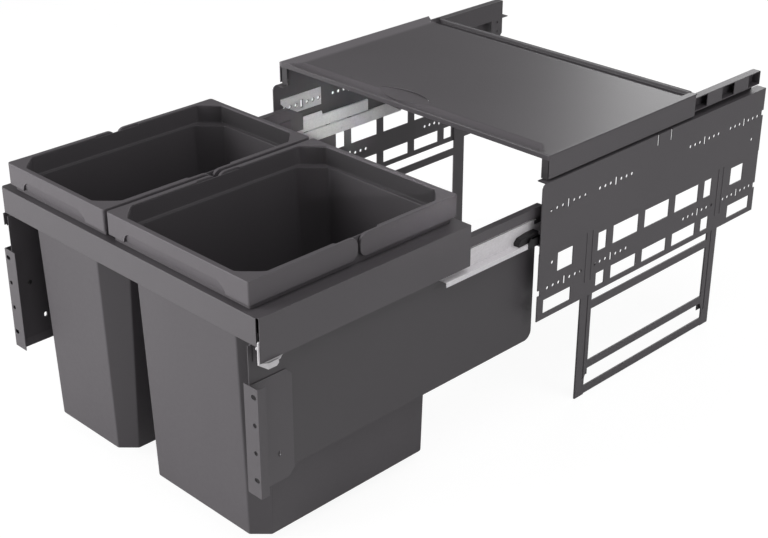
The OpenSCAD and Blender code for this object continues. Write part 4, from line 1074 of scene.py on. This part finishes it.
def edge_share(edge, solid):
    """How much of the full rounding an edge takes: folds all, cut edges of sheet a little."""
    if len(edge.link_faces) != 2 or edge.calc_face_angle(0.0) < BEND_ANGLE:
        return 0.0
    length = edge.calc_length()
    if length < LEAST_EDGE:
        return 0.0
    if solid:
        return 1.0
    if min(face.calc_area() for face in edge.link_faces) / length < LEAST_WALL:
        return CUT_SHARE
    return 1.0 if edge.is_convex else INNER_SHARE


def softened(node, solid):
    """A node's solid, reshaped if the table says so, with its edges broken."""
    work = cad_solid(node)
    bmesh.ops.dissolve_limit(work, angle_limit=FLAT_WITHIN, verts=work.verts, edges=work.edges)
    if node in RESHAPED:
        RESHAPED[node](work)
        bmesh.ops.recalc_face_normals(work, faces=work.faces)
    share = work.edges.layers.float.new("bevel_weight_edge")
    for edge in work.edges:
        edge[share] = edge_share(edge, solid)
    holder = scratch_object(with_crisp_edges(mesh_of(work, node + "_soft")))
    bevel = holder.modifiers.new("edge", "BEVEL")
    bevel.width = MOULD if solid else FOLD
    bevel.segments = SOFT_STEPS
    bevel.limit_method = "WEIGHT"
    bevel.use_clamp_overlap = True
    return with_crisp_edges(worked_in(holder, node + "_soft"))


def dress(node):
    """The piece for a node that no other function builds."""
    solid = SLOT_OF[node] == "black_plastic" or node.startswith("shelf_cap")
    finish = next((FINISH_OF[start] for start in FINISH_OF if node.startswith(start)), None)
    finish_piece(node + "_piece", softened(node, solid), node, finish)


# Studio

# The camera, as the photograph was taken: place in metres, turn and dip in degrees
CAMERA_PLACE = (1.479, -1.5204, 1.218)
CAMERA_AZIMUTH, CAMERA_DOWN = 45.13, 26.65
CAMERA_LENS, SENSOR, CLIP_END = 70.96, 36.0, 100.0
# Place, target and size in metres, power in watts, spread in degrees
LIGHTS = {
    "key": ((-1.6, -3.6, 1.3), (0.0, -0.2, 0.2), (2.4, 1.8), 142.0, 180.0),
    "side_fill": ((3.0, 0.4, 1.3), (0.0, 0.05, 0.25), (1.8, 1.8), 16.5, 180.0),
    "overhead": ((1.1, -0.1, 2.7), (0.1, 0.0, 0.3), (1.8, 1.8), 21.5, 180.0),
    "back_glow": ((-1.15, 3.0, 1.7), (0.2, 0.2, 0.4), (1.2, 1.8), 18.5, 180.0),
    "runner_fill": ((1.3, -0.75, 0.78), (-0.27, 0.08, 0.31), (0.12, 0.12), 0.055, 8.0),
}
WORLD_FILL = 0.2
FLOOR_SIZE, FLOOR_GREY, FLOOR_ROUGH = 40.0, 0.86, 0.9
# How much of the floor glows to the camera, and how brightly
FLOOR_GLOW, FLOOR_LIGHT = 0.82, 1.12


def build_camera():
    data = bpy.data.cameras.new("camera")
    data.lens = CAMERA_LENS
    data.sensor_width = SENSOR
    data.sensor_fit = "HORIZONTAL"
    data.clip_end = CLIP_END
    camera = in_scene("camera", data)
    camera.location = CAMERA_PLACE
    camera.rotation_euler = (math.radians(90 - CAMERA_DOWN), 0, math.radians(CAMERA_AZIMUTH))
    bpy.context.scene.camera = camera


def area_light(name, place, target, size, power, spread):
    data = bpy.data.lights.new(name, "AREA")
    data.shape = "RECTANGLE"
    data.size, data.size_y = size
    data.energy = power
    data.spread = math.radians(spread)
    lamp = in_scene(name, data)
    lamp.location = place
    lamp.rotation_euler = (Vector(target) - Vector(place)).to_track_quat("-Z", "Y").to_euler()


def build_world():
    """White to the camera, a plain grey fill to everything else."""
    world = bpy.data.worlds.new("studio")
    world.use_nodes = True
    bpy.context.scene.world = world
    nodes, links = world.node_tree.nodes, world.node_tree.links
    nodes.clear()
    out = nodes.new("ShaderNodeOutputWorld")
    mixer = nodes.new("ShaderNodeMixShader")
    path = nodes.new("ShaderNodeLightPath")
    links.new(path.outputs["Is Camera Ray"], mixer.inputs["Fac"])
    for socket, grey in ((1, WORLD_FILL), (2, 1.0)):
        background = nodes.new("ShaderNodeBackground")
        background.inputs["Color"].default_value = (grey, grey, grey, 1.0)
        links.new(background.outputs["Background"], mixer.inputs[socket])
    links.new(mixer.outputs["Shader"], out.inputs["Surface"])


def build_floor():
    """A pale floor, mostly white to the camera, so that it keeps only a light shadow."""
    def fill(work):
        s = FLOOR_SIZE / 2
        corners = ((-s, -s, 0), (s, -s, 0), (s, s, 0), (-s, s, 0))
        work.faces.new([work.verts.new(c) for c in corners])

    mesh = plain_mesh("floor", fill)
    f = Finish("pale_floor")
    f.fixed(Base_Color=(FLOOR_GREY, FLOOR_GREY, FLOOR_GREY, 1.0), Roughness=FLOOR_ROUGH)
    glow = f.add("ShaderNodeEmission", Strength=FLOOR_LIGHT)
    path = f.add("ShaderNodeLightPath")
    mixer = f.add("ShaderNodeMixShader")
    part = f.add("ShaderNodeMath", operation="MULTIPLY")
    part.inputs[1].default_value = FLOOR_GLOW
    f.link(path.outputs["Is Camera Ray"], part.inputs[0])
    f.link(part.outputs["Value"], mixer.inputs["Fac"])
    f.link(f.shader.outputs["BSDF"], mixer.inputs[1])
    f.link(glow.outputs["Emission"], mixer.inputs[2])
    f.link(mixer.outputs["Shader"], f.tree.nodes["Material Output"].inputs["Surface"])
    mesh.materials.append(f.material)
    in_scene("floor", mesh)


for side in ("left", "right"):
    build_bin(side)
    build_handles(side)
    build_stop(side)
build_catch()
build_shelf()
build_pad()
build_heads("rivet_heads", "plate_rivets", rivet_head)
build_heads("screw_heads", "bracket_screws", screw_head)
for side in ("left", "right"):
    build_wheels(f"runner_rollers_{side}")
    build_wheels(f"middle_wheels_{side}")
for node in SLOT_OF:
    if node not in MADE:
        dress(node)

build_camera()
build_world()
build_floor()
for name, light in LIGHTS.items():
    area_light(name, *light)

bpy.context.scene.view_settings.view_transform = "Standard"
